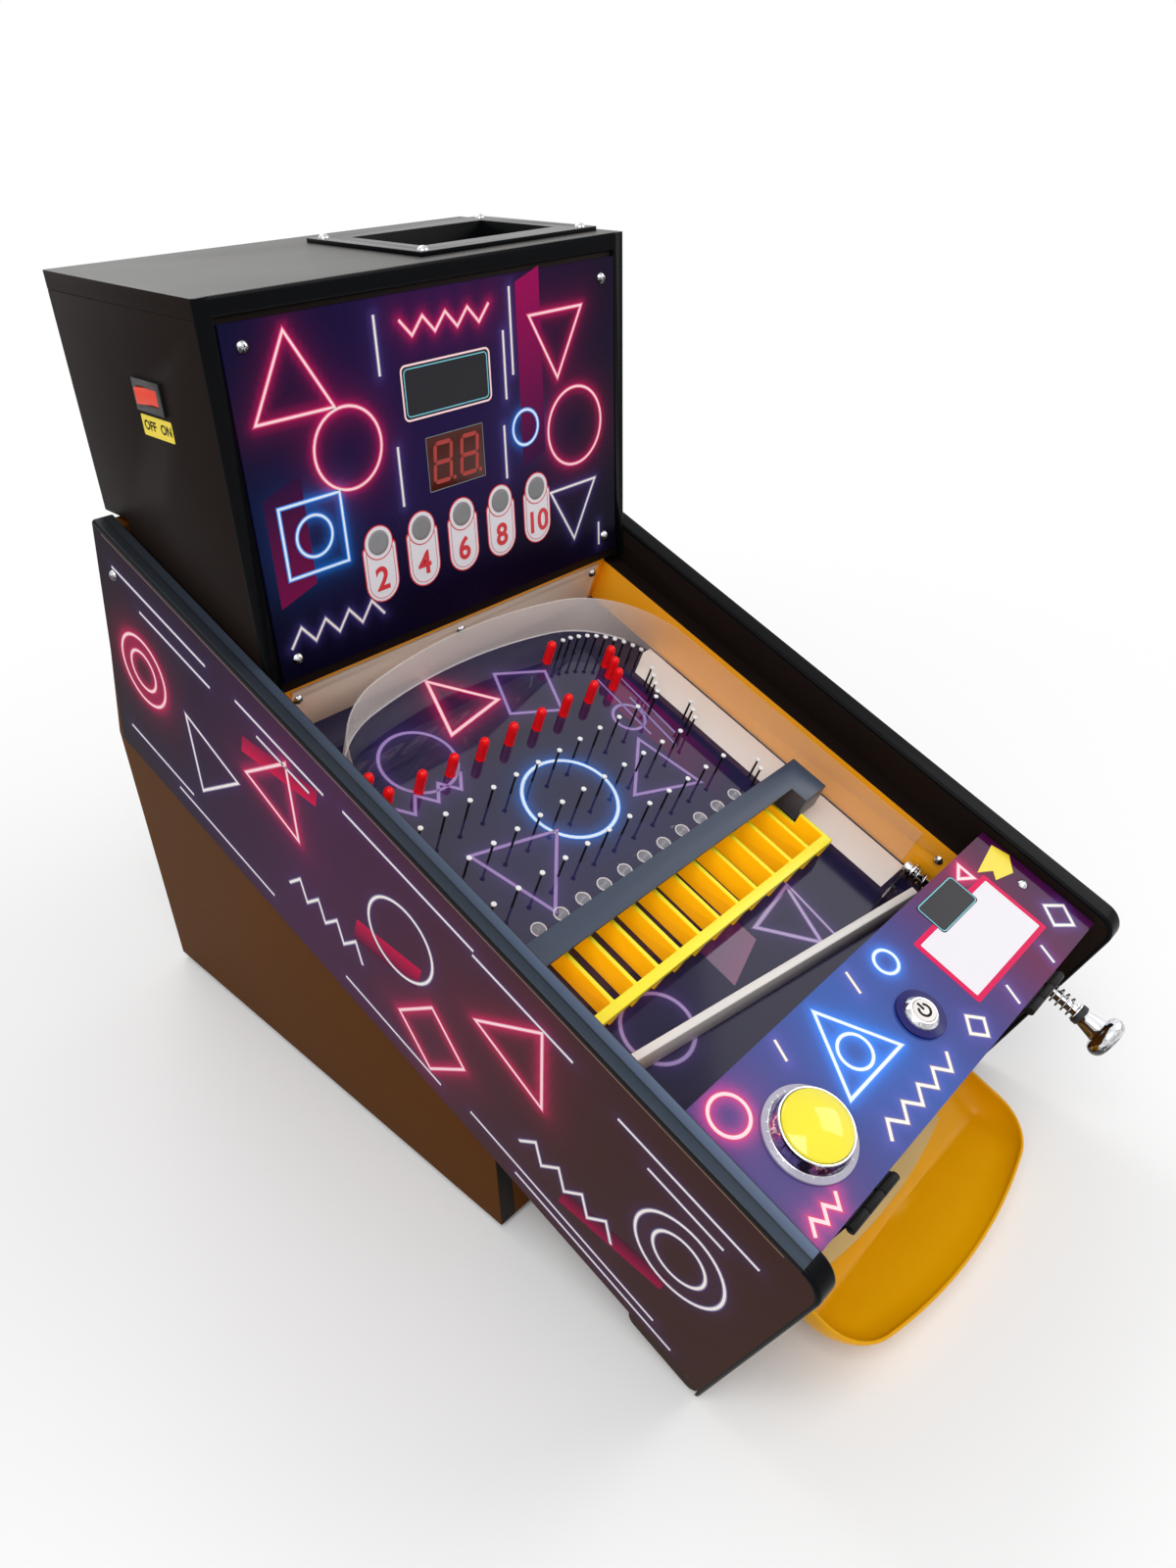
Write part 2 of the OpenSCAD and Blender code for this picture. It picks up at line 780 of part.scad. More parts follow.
// Short slanted groups by the lane, and an arc under the arch's corner
group_s = [cap_s + 13, cap_s + 59, lens_s - 5.5];
group_n = [4, 3, 2];
group_step = [-5.6, 7.4];
group_in = 2;
arc_n = 10;
arc_in = 31;
arc_first = 4;
arc_step = 7.6;
arc_r = corner_arc - arc_in;
nail_at = concat(
  [for (k = [0 : 1 : rows - 1], i = [0 : row_count(k) - 1])
    [row_x(i, row_count(k)), lens_s - row_gap - k * row_pitch]],
  [for (g = [0 : 2], i = [0 : group_n[g] - 1]) [lane_x + group_in, group_s[g]] + i * group_step],
  [for (i = [0 : arc_n - 1]) corner_pt(arc_first + arc_step * i, arc_in)]);

module nails() {
  color("#1a1a1c") deck() for (p = nail_at) stand(p[0], p[1], play_n) nail();
}

// Red caps: a row above the nails, with a few beyond its ends
cap_in = 25;
cap_margin = 20;
cap_step = [7, -11.5];
cap_end = [-4, -18];
arc_cap = [-6, -2];
cap_last = lane_x - cap_in;
caps = min(cap_n, floor((cap_last + wall_x - cap_margin) / cap_pitch) + 1);
cap_at = concat(
  [for (i = [0 : caps - 1]) [cap_last - i * cap_pitch, cap_s]],
  [for (i = [1, 2]) [cap_last, cap_s] + i * cap_step],
  [[cap_last - (caps - 1) * cap_pitch, cap_s] + cap_end],
  [[corner_x, corner_s - arc_r] + arc_cap]);

module pin_caps() {
  color("#e01b24") deck() for (p = cap_at) stand(p[0], p[1], play_n) {
    cylinder(h = cap_h - cap_r, r = cap_r);
    translate([0, 0, cap_h - cap_r]) sphere(cap_r);
  }
}

// Bridge over the slots: a plate with a rear wall, a box-shaped arm at its right end and a leg on each
// side of the divider
bridge_wall = 2.5;
arm_w = 28;
arm_l = 14.5;
arm_h = 24;
arm_over = 16;
leg_w = 6;
leg_gap = 1;
leg_in = 4;
bridge_x = lane_x + arm_over;
bridge_front_s = bridge_s + bridge_t;
arm_front_s = bridge_front_s + arm_l;
plate_low_n = bridge_n + bridge_wall;
arm_low_n = bridge_n + arm_h;

module slot_bridge() {
  x = [-wall_x + strip_t + 2 * slip, bridge_x];
  arm = [bridge_x - arm_w, bridge_x];
  color("#2c3440") deck() {
    deck_box(x, [bridge_s, bridge_front_s], [bridge_n, plate_low_n]);
    deck_box(x, [bridge_s, bridge_s + bridge_wall], [bridge_n, bridge_n + bridge_t]);
    difference() {
      deck_box(arm, [bridge_s, arm_front_s], [bridge_n, arm_low_n]);
      deck_box([arm[0] + bridge_wall, arm[1] - bridge_wall],
        [bridge_s + bridge_wall, arm_front_s - bridge_wall], [plate_low_n, arm_low_n + 1]);
    }
    for (leg = [divider_x[0] - leg_gap - leg_w, divider_x[slots] + slot_wall + leg_gap])
      deck_box([leg, leg + leg_w], [bridge_s + leg_in, bridge_front_s - leg_in],
        [plate_low_n - eps, play_n]);
  }
}

// Divider: walls between the slots, joined by a bar over their front ends. The last wall dips under the arm
bar_s = 8;
bar_h = 5;
arm_gap = 2;
wall_lean = 1.5;
divider_n = play_n - slot_h;
divider_s = bridge_s + bridge_wall + arm_gap;
divider_x = [for (i = [0 : slots]) field_x + (i - slots / 2) * slot_pitch - slot_wall / 2];

module divider_wall(x, rear) {
  across(x, slot_wall) polygon(concat([[-divider_s, -play_n]], rear, [[-slot_front_s, -divider_n],
    [-slot_front_s, -divider_n - bar_h], [-slot_front_s + wall_lean, -play_n]]));
}

module slot_divider() {
  dip = [-arm_front_s - arm_gap, -arm_low_n - arm_gap];
  color("#ffd21a") deck() {
    for (i = [0 : slots - 1]) divider_wall(divider_x[i], [[-divider_s, -divider_n]]);
    divider_wall(divider_x[slots], [[-divider_s, dip[1]], dip, [dip[0], -divider_n]]);
    deck_box([divider_x[0], divider_x[slots] + slot_wall], [slot_front_s - bar_s, slot_front_s],
      [divider_n, divider_n + bar_h]);
  }
}

module slot_lenses() {
  color("#d8dadd") deck() for (x = lens_at) stand(x, lens_s, sheet_n)
    cylinder(h = sheet_t + 0.2, r = lens_r);
}

// Return rail: a strip on edge that leads the balls down to the lane, wider at its foot
rail_short = 24;
rail_foot = 2.5;

module return_rail() {
  rail_l = (wall_x + plunger_x - rail_short) / cos(rail_a);
  color("#ece6e2") deck() translate([-wall_x + 1, -rail_left_s, -play_n]) rotate(-rail_a)
    rotate([90, 0, 90]) linear_extrude(rail_l)
      polygon([[0, 0], [-rail_t - rail_foot, 0], [-rail_t, rail_h], [0, rail_h]]);
}

// Screw through the right end of the control panel
panel_screw_at = [in_x - 19, face_s - 54.5];

module control_panel() {
  low = -floor_n - 1;
  color("#3a2a78") deck() difference() {
    deck_box([-in_x + 4 * slip, in_x - 4 * slip], [ctrl_rear_s, ctrl_front_s], [ctrl_n, floor_n]);
    stand(dome_x, face_s - button_s, -low) cylinder(h = ctrl_t + 2, r = dome_barrel_r);
    stand(power_x, face_s - button_s, -low) cylinder(h = ctrl_t + 2, r = power_barrel_r);
    stand(panel_screw_at[0], panel_screw_at[1], -low) cylinder(h = ctrl_t + 2, r = shank_r);
  }
}

// A dome-headed screw with a cross recess, standing on its seat
cross_l = 4;
cross_w = 0.9;
cross_d = 1.5;

module screw(grip) {
  r = (screw_r * screw_r + screw_h * screw_h) / (2 * screw_h);
  difference() {
    intersection() {
      translate([0, 0, screw_h - r]) sphere(r);
      cylinder(h = screw_h, r = screw_r);
    }
    for (a = [0, 90]) rotate(a) translate([-cross_l / 2, -cross_w / 2, screw_h - cross_d])
      cube([cross_l, cross_w, cross_d + 1]);
  }
  translate([0, 0, -grip]) cylinder(h = grip + eps, r = shank_r);
}

module panel_screw() {
  color("#d5d8dc") deck() stand(panel_screw_at[0], panel_screw_at[1], ctrl_n) screw(ctrl_t);
}

// Thirds of a hinge: the moving knuckle sits between two fixed ones
hinge_at = [hinge_left_x, hinge_right_x];
third = hinge_l / 3;

module knuckle(x0, l, r) {
  translate([x0, -hinge_s, -hinge_n]) rotate([0, 90, 0]) cylinder(h = l, r = r);
}

// Fixed leaf on the front board, with two knuckles and the pin between them
module hinge_fixed() {
  color("#101012") deck() for (x = hinge_at) {
    deck_box([x - hinge_l / 2, x + hinge_l / 2], [face_s, face_s + leaf_t], [floor_n + 5, floor_n + 22]);
    for (e = [x - hinge_l / 2, x + hinge_l / 2 - third + slip]) {
      knuckle(e, third - slip, knuckle_r);
      deck_box([e, e + third - slip], [face_s, face_s + leaf_t], [hinge_n, floor_n + 5 + eps]);
    }
    knuckle(x - hinge_l / 2 + 1, hinge_l - 2, pin_r);
  }
}

// Moving leaf under the control panel, with one bored knuckle
module hinge_moving() {
  leaf_n = [floor_n, floor_n + leaf_t];
  color("#101012") deck() for (x = hinge_at) difference() {
    union() {
      deck_box([x - hinge_l / 2, x + hinge_l / 2], [face_s - 17, face_s - slip], leaf_n);
      deck_box([x - third / 2 + slip, x + third / 2 - slip], [face_s - 1, hinge_s], leaf_n);
      knuckle(x - third / 2 + slip, third - 2 * slip, knuckle_r);
    }
    knuckle(x - third, 2 * third, pin_r + run_fit);
  }
}

// Dome button: heights are over the panel's face
dome_barrel_r = 13.7;
dome_lip = 12;
dome_seat = 3;
dome_deep = 34;
dome_stem_r = 9;
nut_t = 5;
dome_cap_low = dome_seat + dome_travel + 0.5;

module dome_body() {
  well_r = dome_cap_r + slip;
  stem_well = dome_stem_r + slip;
  color("#c9ccd1") deck() stand(dome_x, face_s - button_s, ctrl_n) {
    rotate_extrude() polygon([[stem_well, dome_seat], [well_r, dome_seat], [well_r, dome_lip],
      [well_r + 1.4, dome_lip], [dome_r - 4, 3], [dome_r, 2], [dome_r, 0], [dome_barrel_r, 0],
      [dome_barrel_r, -dome_deep], [0, -dome_deep], [0, 3 - dome_deep], [stem_well, 3 - dome_deep]]);
    translate([0, 0, -ctrl_t - nut_t]) difference() {
      cylinder(h = nut_t, r = dome_barrel_r + 6, $fn = 6);
      translate([0, 0, -1]) cylinder(h = nut_t + 2, r = dome_barrel_r);
    }
  }
}

module dome_cap() {
  rise = 6;
  r = (dome_cap_r * dome_cap_r + rise * rise) / (2 * rise);
  skirt = dome_lip - dome_cap_low + 1;
  color("#ffe11f") deck() stand(dome_x, face_s - button_s, ctrl_n) {
    translate([0, 0, dome_cap_low]) cylinder(h = skirt, r = dome_cap_r);
    intersection() {
      translate([0, 0, dome_cap_low + skirt + rise - r]) sphere(r, $fn = 96);
      translate([0, 0, dome_cap_low + skirt - eps]) cylinder(h = rise + 1, r = dome_cap_r);
    }
    translate([0, 0, 4 + dome_travel - dome_deep])
      cylinder(h = dome_cap_low + dome_deep - 4 - dome_travel + eps, r = dome_stem_r);
  }
}

// Power button: heights are over the panel's face
power_barrel_r = 9.6;
power_lip = 6;
power_deep = 28;
power_floor = power_lip - power_travel - 1.5;

module power_body() {
  well_r = power_cap_r + slip;
  color("#2a2f86") deck() stand(power_x, face_s - button_s, ctrl_n) {
    rotate_extrude() polygon([[0, power_floor - 3], [0, -power_deep], [power_barrel_r, -power_deep],
      [power_barrel_r, 0], [power_r, 0], [power_r, 2.2], [12.2, 2.6], [12.2, 3.4], [9.6, power_lip],
      [well_r, power_lip], [well_r, power_floor - 3]]);
    translate([0, 0, -ctrl_t - 4]) difference() {
      cylinder(h = 4, r = power_barrel_r + 4, $fn = 6);
      translate([0, 0, -1]) cylinder(h = 6, r = power_barrel_r);
    }
  }
}

module power_cap() {
  color("#eef0f2") deck() stand(power_x, face_s - button_s, ctrl_n)
    translate([0, 0, power_floor]) cylinder(h = power_lip - power_floor + 0.5, r = power_cap_r);
}

// Plunger rod with its inner tip and collar, and the washer, ferrule and knob outside
module plunger_rod() {
  color("#d5d8dc") deck() {
    lie(plunger_x, collar_s - tip_l, plunger_n) cylinder(h = ferrule_s - collar_s + tip_l + 1, r = rod_r);
    lie(plunger_x, collar_s - tip_l, plunger_n) cylinder(h = tip_l - 3, r = rod_r + 1.5);
    lie(plunger_x, collar_s - collar_l, plunger_n) cylinder(h = collar_l, r = spring_r + wire_d);
    lie(plunger_x, ferrule_s, plunger_n) {
      cylinder(h = ferrule_l, r1 = ferrule_r, r2 = ferrule_end_r);
      cylinder(h = ferrule_l + 1, r = ferrule_r);
    }
    lie(plunger_x, ring_s, plunger_n) cylinder(h = washer_l, r = ring_r - 0.4);
    lie(plunger_x, knob_s, plunger_n) {
      cylinder(h = knob_t, r = knob_r - knob_rim);
      translate([0, 0, knob_rim])
        rotate_extrude() translate([knob_r - knob_rim, 0]) circle(knob_rim);
    }
  }
}

// Bushing through the front board, flanged outside and held by a nut inside
module plunger_bushing() {
  color("#c9ccd1") deck() difference() {
    union() {
      lie(plunger_x, inner_end_s, plunger_n)
        cylinder(h = outer_s - inner_end_s, r = bush_r);
      lie(plunger_x, face_s, plunger_n) {
        cylinder(h = flange_t, r = flange_r);
        translate([0, 0, flange_t]) cylinder(h = flange_t, r1 = flange_r, r2 = bush_r + 1);
      }
      lie(plunger_x, inner_face_s - nut_l, plunger_n) cylinder(h = nut_l, r = bush_r + 1.2, $fn = 6);
    }
    lie(plunger_x, inner_end_s - 1, plunger_n)
      cylinder(h = outer_s - inner_end_s + 2, r = rod_r + run_fit);
  }
}

module plunger_ring() {
  color("#161616") deck() lie(plunger_x, ring_s + washer_l, plunger_n) difference() {
    cylinder(h = ring_l, r = ring_r);
    translate([0, 0, -1]) cylinder(h = ring_l + 2, r = rod_r);
  }
}

// Coil spring: one tube that starts and ends straight, with 8 rings to a curl
curl_rings = 8;
wire_sides = 6;
function coil_path(l, curls) = concat(
  [[spring_r, 0, 0]],
  [for (i = [0 : curls * curl_rings]) let (t = i / (curls * curl_rings))
    [spring_r * cos(360 * curls * t), spring_r * sin(360 * curls * t),
      wire_d + (l - 2 * wire_d) * t]],
  [[spring_r, 0, l]]);
function unit(v) = v / norm(v);
function ring_dir(p, i) = unit(p[min(i + 1, len(p) - 1)] - p[max(i - 1, 0)]);
function wire_ring(p, i) = let (d = i == 0 || i == len(p) - 1 ? [0, 0, 1] : ring_dir(p, i),
    out = unit([p[i][0], p[i][1], 0]), side = unit(cross(d, out)), lift = cross(side, d))
  [for (k = [0 : wire_sides - 1])
    p[i] + wire_d / 2 * (cos(360 * k / wire_sides) * lift + sin(360 * k / wire_sides) * side)];
function wire_faces(rings) = let (n = wire_sides) concat(
  [for (i = [0 : rings - 2], k = [0 : n - 1]) [i * n + k, i * n + (k + 1) % n, (i + 1) * n + k]],
  [for (i = [0 : rings - 2], k = [0 : n - 1])
    [i * n + (k + 1) % n, (i + 1) * n + (k + 1) % n, (i + 1) * n + k]],
  [for (k = [1 : n - 2]) [0, k + 1, k]],
  [for (k = [1 : n - 2]) [(rings - 1) * n, (rings - 1) * n + k, (rings - 1) * n + k + 1]]);
function least_gap(p) = min([for (i = [0 : len(p) - 1], j = [i + curl_rings - 2 : 1 : len(p) - 1])
  norm(p[i] - p[j])]) - wire_d;

module coil(l, curls) {
  path = coil_path(l, curls);
  points = [for (i = [0 : len(path) - 1]) each wire_ring(path, i)];
  echo(str("least gap of the coil to itself in mm: ", least_gap(path)));
  polyhedron(points, [for (f = wire_faces(len(path))) [f[2], f[1], f[0]]], convexity = 10);
}

module outer_spring() {
  color("#b9bcc2") deck() lie(plunger_x, outer_s, plunger_n) coil(outer_l, outer_curls);
}

module inner_spring() {
  color("#b9bcc2") deck() lie(plunger_x, collar_s, plunger_n) coil(inner_l, inner_curls);
}

// Outline of the ball tray from above, set in by its wall: corners that run into a bowed front
module tray_outline(in) {
  w = tray_w - in;
  r = tray_r - in;
  bow = tray_bow - in;
  bow_y = tray_bow - face_s - tray_out;
  x = w - r;
  y = bow_y - sqrt((bow - r) * (bow - r) - x * x);
  far = (bow + 1) / (bow - r);
  translate([-w, y]) square([2 * w, -face_s - in - y]);
  for (side = [-1, 1]) translate([side * x, y]) circle(r);
  intersection() {
    translate([0, bow_y]) circle(bow, $fn = 192);
    polygon([[-x, y + 1], [x, y + 1], [x * far, bow_y + (y - bow_y) * far],
      [-x * far, bow_y + (y - bow_y) * far]]);
  }
}

// The tray's outer or inner form: its floor falls from the front board to a fold and is level from there
module tray_form(in, rise) {
  fold_h = tray_lip + (tray_out - tray_fold) * tan(slope);
  intersection() {
    translate([0, 0, -tray_n - fold_h]) linear_extrude(fold_h + rise) tray_outline(in);
    rotate([90, 0, 90]) translate([-face_s, -tray_n, -tray_w]) linear_extrude(2 * tray_w)
      polygon([[0, rise], [0, in - tray_h], [-tray_fold, in - fold_h], [-tray_out, in - tray_lip],
        [-tray_out, rise]]);
  }
}

module ball_tray() {
  color("#f2b705") deck() difference() {
    tray_form(0, 0);
    tray_form(tray_t, 1);
    deck_box([exit_x[0] - 1, exit_x[1] + 1], [face_s - 1, face_s + tray_t + 1], [tray_n - 1, tray_n + 6]);
  }
}

// Ramp under the playfield, with a bowed tongue through the front board
ramp_back = 68;

module ball_ramp() {
  tongue_w = exit_x[1] - exit_x[0] - 2 * set_fit;
  mid_x = (exit_x[0] + exit_x[1]) / 2;
  bow = tongue_w * 2.2;
  color("#c8a860") deck() {
    deck_box([-in_x, in_x], [wall_s - ramp_back, inner_face_s], [tray_n - ramp_t, tray_n]);
    translate([0, 0, -tray_n]) linear_extrude(ramp_t) intersection() {
      translate([mid_x - tongue_w / 2, -face_s - ramp_out]) square([tongue_w, ramp_out + board_t + 1]);
      translate([mid_x, -face_s - ramp_out + bow]) circle(bow, $fn = 96);
    }
  }
}

// Recess of the insert tray, about the middle of its flange
module insert_block(grow, z0, z1) {
  translate([-mouth_w / 2 - grow, -mouth_d / 2 - grow, z0])
    cube([mouth_w + 2 * grow, mouth_d + 2 * grow, z1 - z0]);
}

// Screws at the corners of the insert tray's flange
insert_screws = [for (i = [-1, 1], j = [-1, 1]) [i * (insert_w / 2 - 9), j * (insert_d / 2 - 9)]];

module insert_tray() {
  color("#17181a") cab() translate([insert_x, insert_y, 0]) difference() {
    union() {
      translate([-insert_w / 2, -insert_d / 2, head_top_z]) cube([insert_w, insert_d, insert_t]);
      insert_block(insert_t, head_top_z - mouth_h - insert_t, head_top_z + eps);
    }
    insert_block(0, head_top_z - mouth_h, head_top_z + insert_t + 1);
    translate([mouth_w / 2 - ball_hole_r - 4, 0, head_top_z - mouth_h - insert_t - 1])
      cylinder(h = insert_t + 2, r = ball_hole_r);
    for (p = insert_screws) translate([p[0], p[1], head_top_z - 1])
      cylinder(h = insert_t + 2, r = shank_r);
  }
}

module rocker_bezel() {
  color("#101010") cab() rocker_place() difference() {
    union() {
      rocker_block(rocker_flange, 0, rocker_lip);
      rocker_block(0, -rocker_deep, eps);
    }
    rocker_block(-rocker_wall, rocker_wall - rocker_deep, rocker_lip + 1);
    translate([-body_w / 2 - 1, 0, pivot_z]) rotate([0, 90, 0])
      cylinder(h = body_w + 2, r = pivot_r + run_fit);
  }
}

// Paddle with its two pivots, tilted to its off position
module rocker_paddle() {
  l = paddle_l / 2;
  color("#e8341c") cab() rocker_place() translate([0, 0, pivot_z]) rotate([paddle_tilt, 0, 0]) {
    translate([-paddle_w / 2, 0, 0]) rotate([90, 0, 90]) linear_extrude(paddle_w)
      polygon([[-l, -3], [l, -3], [l, 6], [0, 4.2], [-l, 6]]);
    translate([-body_w / 2, 0, 0]) rotate([0, 90, 0]) cylinder(h = body_w, r = pivot_r);
  }
}

// Two-digit display: a block through the window with a flange behind the board
module display() {
  rear = -head_front + board_t;
  color("#3a0d0a") cab() {
    display_block(0, -head_front - panel_t + 0.5, rear + 1);
    display_block(5, rear, rear + 3);
  }
}

module lamp_lenses() {
  color("#8d8f94") cab() for (x = lamp_at) on_head(x, panel_z + lamp_up)
    cylinder(h = panel_t + 0.6, r = lamp_r);
}

// Hopper: a flanged bin between the head walls with the dispenser's cup under it
hopper_t = 3;
hopper_x = [wheel_x - 60, head_x - 6];
hopper_y = [-head_front + 23, -head_rear - board_t - 14];
drop_r = 10;
drop_at = wheel_r - drop_r - 2;

module hopper_cup(r, z0, z1) {
  translate([wheel_x, wheel_y, z0]) cylinder(h = z1 - z0, r = r);
}

module ball_hopper() {
  bin_z = wheel_z + wheel_h + cup_gap;
  inner_x = [hopper_x[0] + hopper_t, hopper_x[1] - hopper_t];
  inner_y = [hopper_y[0] + hopper_t, hopper_y[1] - hopper_t];
  color("#6f7780") cab() difference() {
    union() {
      cab_box([-head_x, head_x], hopper_y, [hopper_z - hopper_t, hopper_z]);
      cab_box(hopper_x, hopper_y, [bin_z, hopper_z]);
      hopper_cup(wheel_r + cup_gap + cup_t, wheel_z - cup_gap - cup_t, bin_z + 1);
    }
    cab_box(inner_x, inner_y, [bin_z + hopper_t, hopper_z + 1]);
    hopper_cup(wheel_r + cup_gap, wheel_z - cup_gap, bin_z - eps);
    hopper_cup(shaft_r + 1, wheel_z - cup_gap - cup_t - 1, wheel_z);
    translate([wheel_x, wheel_y - drop_at, bin_z - 1]) cylinder(h = hopper_t + 2, r = drop_r);
    translate([wheel_x, wheel_y + drop_at, wheel_z - cup_gap - cup_t - 1])
      cylinder(h = cup_t + 2, r = drop_r);
  }
}

// Wheel with six ball pockets
module dispenser_wheel() {
  color("#e9e4d8") cab() translate([wheel_x, wheel_y, wheel_z]) difference() {
    cylinder(h = wheel_h, r = wheel_r);
    for (i = [0 : 5]) rotate(60 * i) translate([drop_at, 0, -1])
      cylinder(h = wheel_h + 2, r = drop_r);
    translate([0, 0, -1]) cylinder(h = wheel_h + 2, r = shaft_r + run_fit);
  }
}

module dispenser_motor() {
  seat_z = wheel_z - cup_gap - cup_t;
  color("#8a8d92") cab() translate([wheel_x, wheel_y, seat_z]) {
    translate([0, 0, -45]) cylinder(h = 45, r = 17);
    cylinder(h = cup_t + cup_gap + wheel_h - 1, r = shaft_r);
  }
}

// Circuit board on four posts on the base floor
module circuit_board() {
  post = 6;
  w = 120;
  d = 80;
  color("#1f6b3a") cab() translate([-60, -base_d / 2, board_t]) {
    translate([-w / 2, -d / 2, post]) cube([w, d, 1.6]);
    for (x = [-1, 1], y = [-1, 1]) translate([x * (w / 2 - 6), y * (d / 2 - 6), 0])
      cylinder(h = post + eps, r = 3);
    translate([-20, -15, post + 1.5]) cube([40, 30, 8]);
  }
}

module power_inlet() {
  wall = 3;
  color("#121212") cab() difference() {
    union() {
      inlet_block(0, -24, eps);
      inlet_block(4, 0, inlet_t);
    }
    inlet_block(-wall, -18, inlet_t + 1);
  }
}

module screws() {
  color("#d5d8dc") {
    cab() {
      for (p = panel_corners) translate([0, -panel_t, 0]) on_head(p[0], p[1]) screw(panel_t);
      for (p = insert_screws) translate([insert_x + p[0], insert_y + p[1], head_top_z + insert_t])
        screw(insert_t);
    }
    deck() {
      for (x = cover_screws) lie(x, wall_s + cover_t, cover_screw_n) screw(cover_t);
      stand(wall_x, liner_screw[0], liner_screw[1]) rotate([0, -90, 0]) screw(panel_t);
      stand(-cab_w / 2, plate_screw[0], plate_screw[1]) rotate([0, -90, 0]) screw(plate_t);
      stand(cab_w / 2, plate_screw[0], plate_screw[1]) rotate([0, 90, 0]) screw(plate_t);
    }
  }
}

module feet() {
  color("#0d0d0d") cab() for (x = [-1, 1], y = [-base_d + board_t + foot_inset, -board_t - foot_inset])
    translate([x * (in_x - foot_inset), y, -foot_h]) cylinder(h = foot_h, r = foot_r);
}

side_left();
side_right();
plate_left();
plate_right();
trim_left();
trim_right();
head_left();
head_right();
head_top();
head_back();
head_board();
head_panel();
head_trim();
base_front();
base_back();
base_floor();
back_panel();
belly_panel();
front_board();
playfield_board();
playfield_sheet();
liner_left();
liner_right();
liner_rear();
rear_cover();
arch_strip();
nails();
pin_caps();
slot_bridge();
slot_divider();
slot_lenses();
return_rail();
control_panel();
panel_screw();
hinge_fixed();
hinge_moving();
dome_body();
dome_cap();
power_body();
power_cap();
plunger_rod();
plunger_bushing();
plunger_ring();
outer_spring();
inner_spring();
ball_tray();
ball_ramp();
insert_tray();
rocker_bezel();
rocker_paddle();
display();
lamp_lenses();
ball_hopper();
dispenser_wheel();
dispenser_motor();
circuit_board();
power_inlet();
screws();
feet();
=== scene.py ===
import json
import math

import bmesh
import bpy
import numpy as np
from mathutils import Matrix, Vector


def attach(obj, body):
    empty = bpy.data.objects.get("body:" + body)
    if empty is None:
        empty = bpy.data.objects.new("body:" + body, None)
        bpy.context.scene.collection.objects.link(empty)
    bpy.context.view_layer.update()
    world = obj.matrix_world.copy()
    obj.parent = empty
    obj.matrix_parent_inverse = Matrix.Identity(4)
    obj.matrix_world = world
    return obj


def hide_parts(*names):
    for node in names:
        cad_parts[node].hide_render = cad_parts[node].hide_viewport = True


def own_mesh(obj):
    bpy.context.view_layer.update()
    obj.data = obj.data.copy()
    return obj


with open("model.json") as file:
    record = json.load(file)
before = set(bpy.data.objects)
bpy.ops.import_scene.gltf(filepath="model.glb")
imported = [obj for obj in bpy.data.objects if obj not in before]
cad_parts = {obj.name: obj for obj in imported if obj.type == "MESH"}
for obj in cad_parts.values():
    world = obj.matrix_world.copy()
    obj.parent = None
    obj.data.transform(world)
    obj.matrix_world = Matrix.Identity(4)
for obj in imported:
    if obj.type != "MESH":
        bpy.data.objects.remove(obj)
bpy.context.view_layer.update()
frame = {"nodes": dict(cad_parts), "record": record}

# Sizes in millimetres, as in the part's source. On the deck, s runs down the slope from its upper rear edge
# and n runs square to the slope, downwards
MM = 0.001
SLOPE = math.radians(21.84)
CA, SA = math.cos(SLOPE), math.sin(SLOPE)
REAR_Y = 372.78
FOOT_H = 6.0
CAB_X = 200.0
DECK_BACK, DECK_Z = 68.0, 452.0
DECK_LEN = 699.0
FACE_S = 686.0
WALL_X = 169.0
IN_X = 183.0
PLAY_N = 71.0
CTRL_N = 6.0
HEAD_FACE = 244.0
PANEL_Z = 370.0 + FOOT_H
LAMP_Z = PANEL_Z + 75
LAMP_PITCH, LAMP_COUNT = 39.0, 5
DISPLAY_Z = PANEL_Z + 117
LANE_X = WALL_X - 45
FIELD_X = (LANE_X - WALL_X) / 2
BUTTON_S = FACE_S - 45
DOME_X, POWER_X = -130.0, -3.0
PLUNGER_X, PLUNGER_N = 158.0, PLAY_N - 9.5
ROCKER_BACK, ROCKER_Z = 168.0, 553.0 + FOOT_H

RECORD = frame["record"]
SLOT_OF = {p["node"]: p["material_slot"] for p in RECORD["subparts"]}
BODY_OF = {n: b for b, names in RECORD["behaviour"]["bodies"].items() for n in names}


# Frames: each takes flat places in millimetres, and the third number stands off the surface
def basis(origin, right, up, out):
    m = Matrix.Identity(4)
    for i, axis in enumerate((right, up, out)):
        for k in range(3):
            m[k][i] = axis[k] * MM
    for k in range(3):
        m[k][3] = origin[k] * MM
    return m


DECK_TOP = (0.0, REAR_Y - DECK_BACK, FOOT_H + DECK_Z)
DOWN = (0.0, -CA, -SA)
UP_N = (0.0, -SA, CA)


def deck_point(x, s, n):
    return tuple(DECK_TOP[k] + x * (k == 0) + s * DOWN[k] - n * UP_N[k] for k in range(3))


def deck_frame(n):
    return basis(deck_point(0, 0, n), (1, 0, 0), (0, CA, SA), UP_N)


ON_FIELD = deck_frame(PLAY_N)
ON_PANEL = deck_frame(CTRL_N)
ON_HEAD = basis((0, REAR_Y - HEAD_FACE, 0), (1, 0, 0), (0, 0, 1), (0, -1, 0))
ON_LEFT = basis(deck_point(-CAB_X, 0, 0), DOWN, UP_N, (-1, 0, 0))
ON_RIGHT = basis(deck_point(CAB_X, 0, 0), tuple(-c for c in DOWN), UP_N, (1, 0, 0))
ON_SWITCH = basis((-IN_X, REAR_Y - ROCKER_BACK, ROCKER_Z), (0, -1, 0), (0, 0, 1), (-1, 0, 0))
SIDES = (("left", ON_LEFT, 1), ("right", ON_RIGHT, -1))


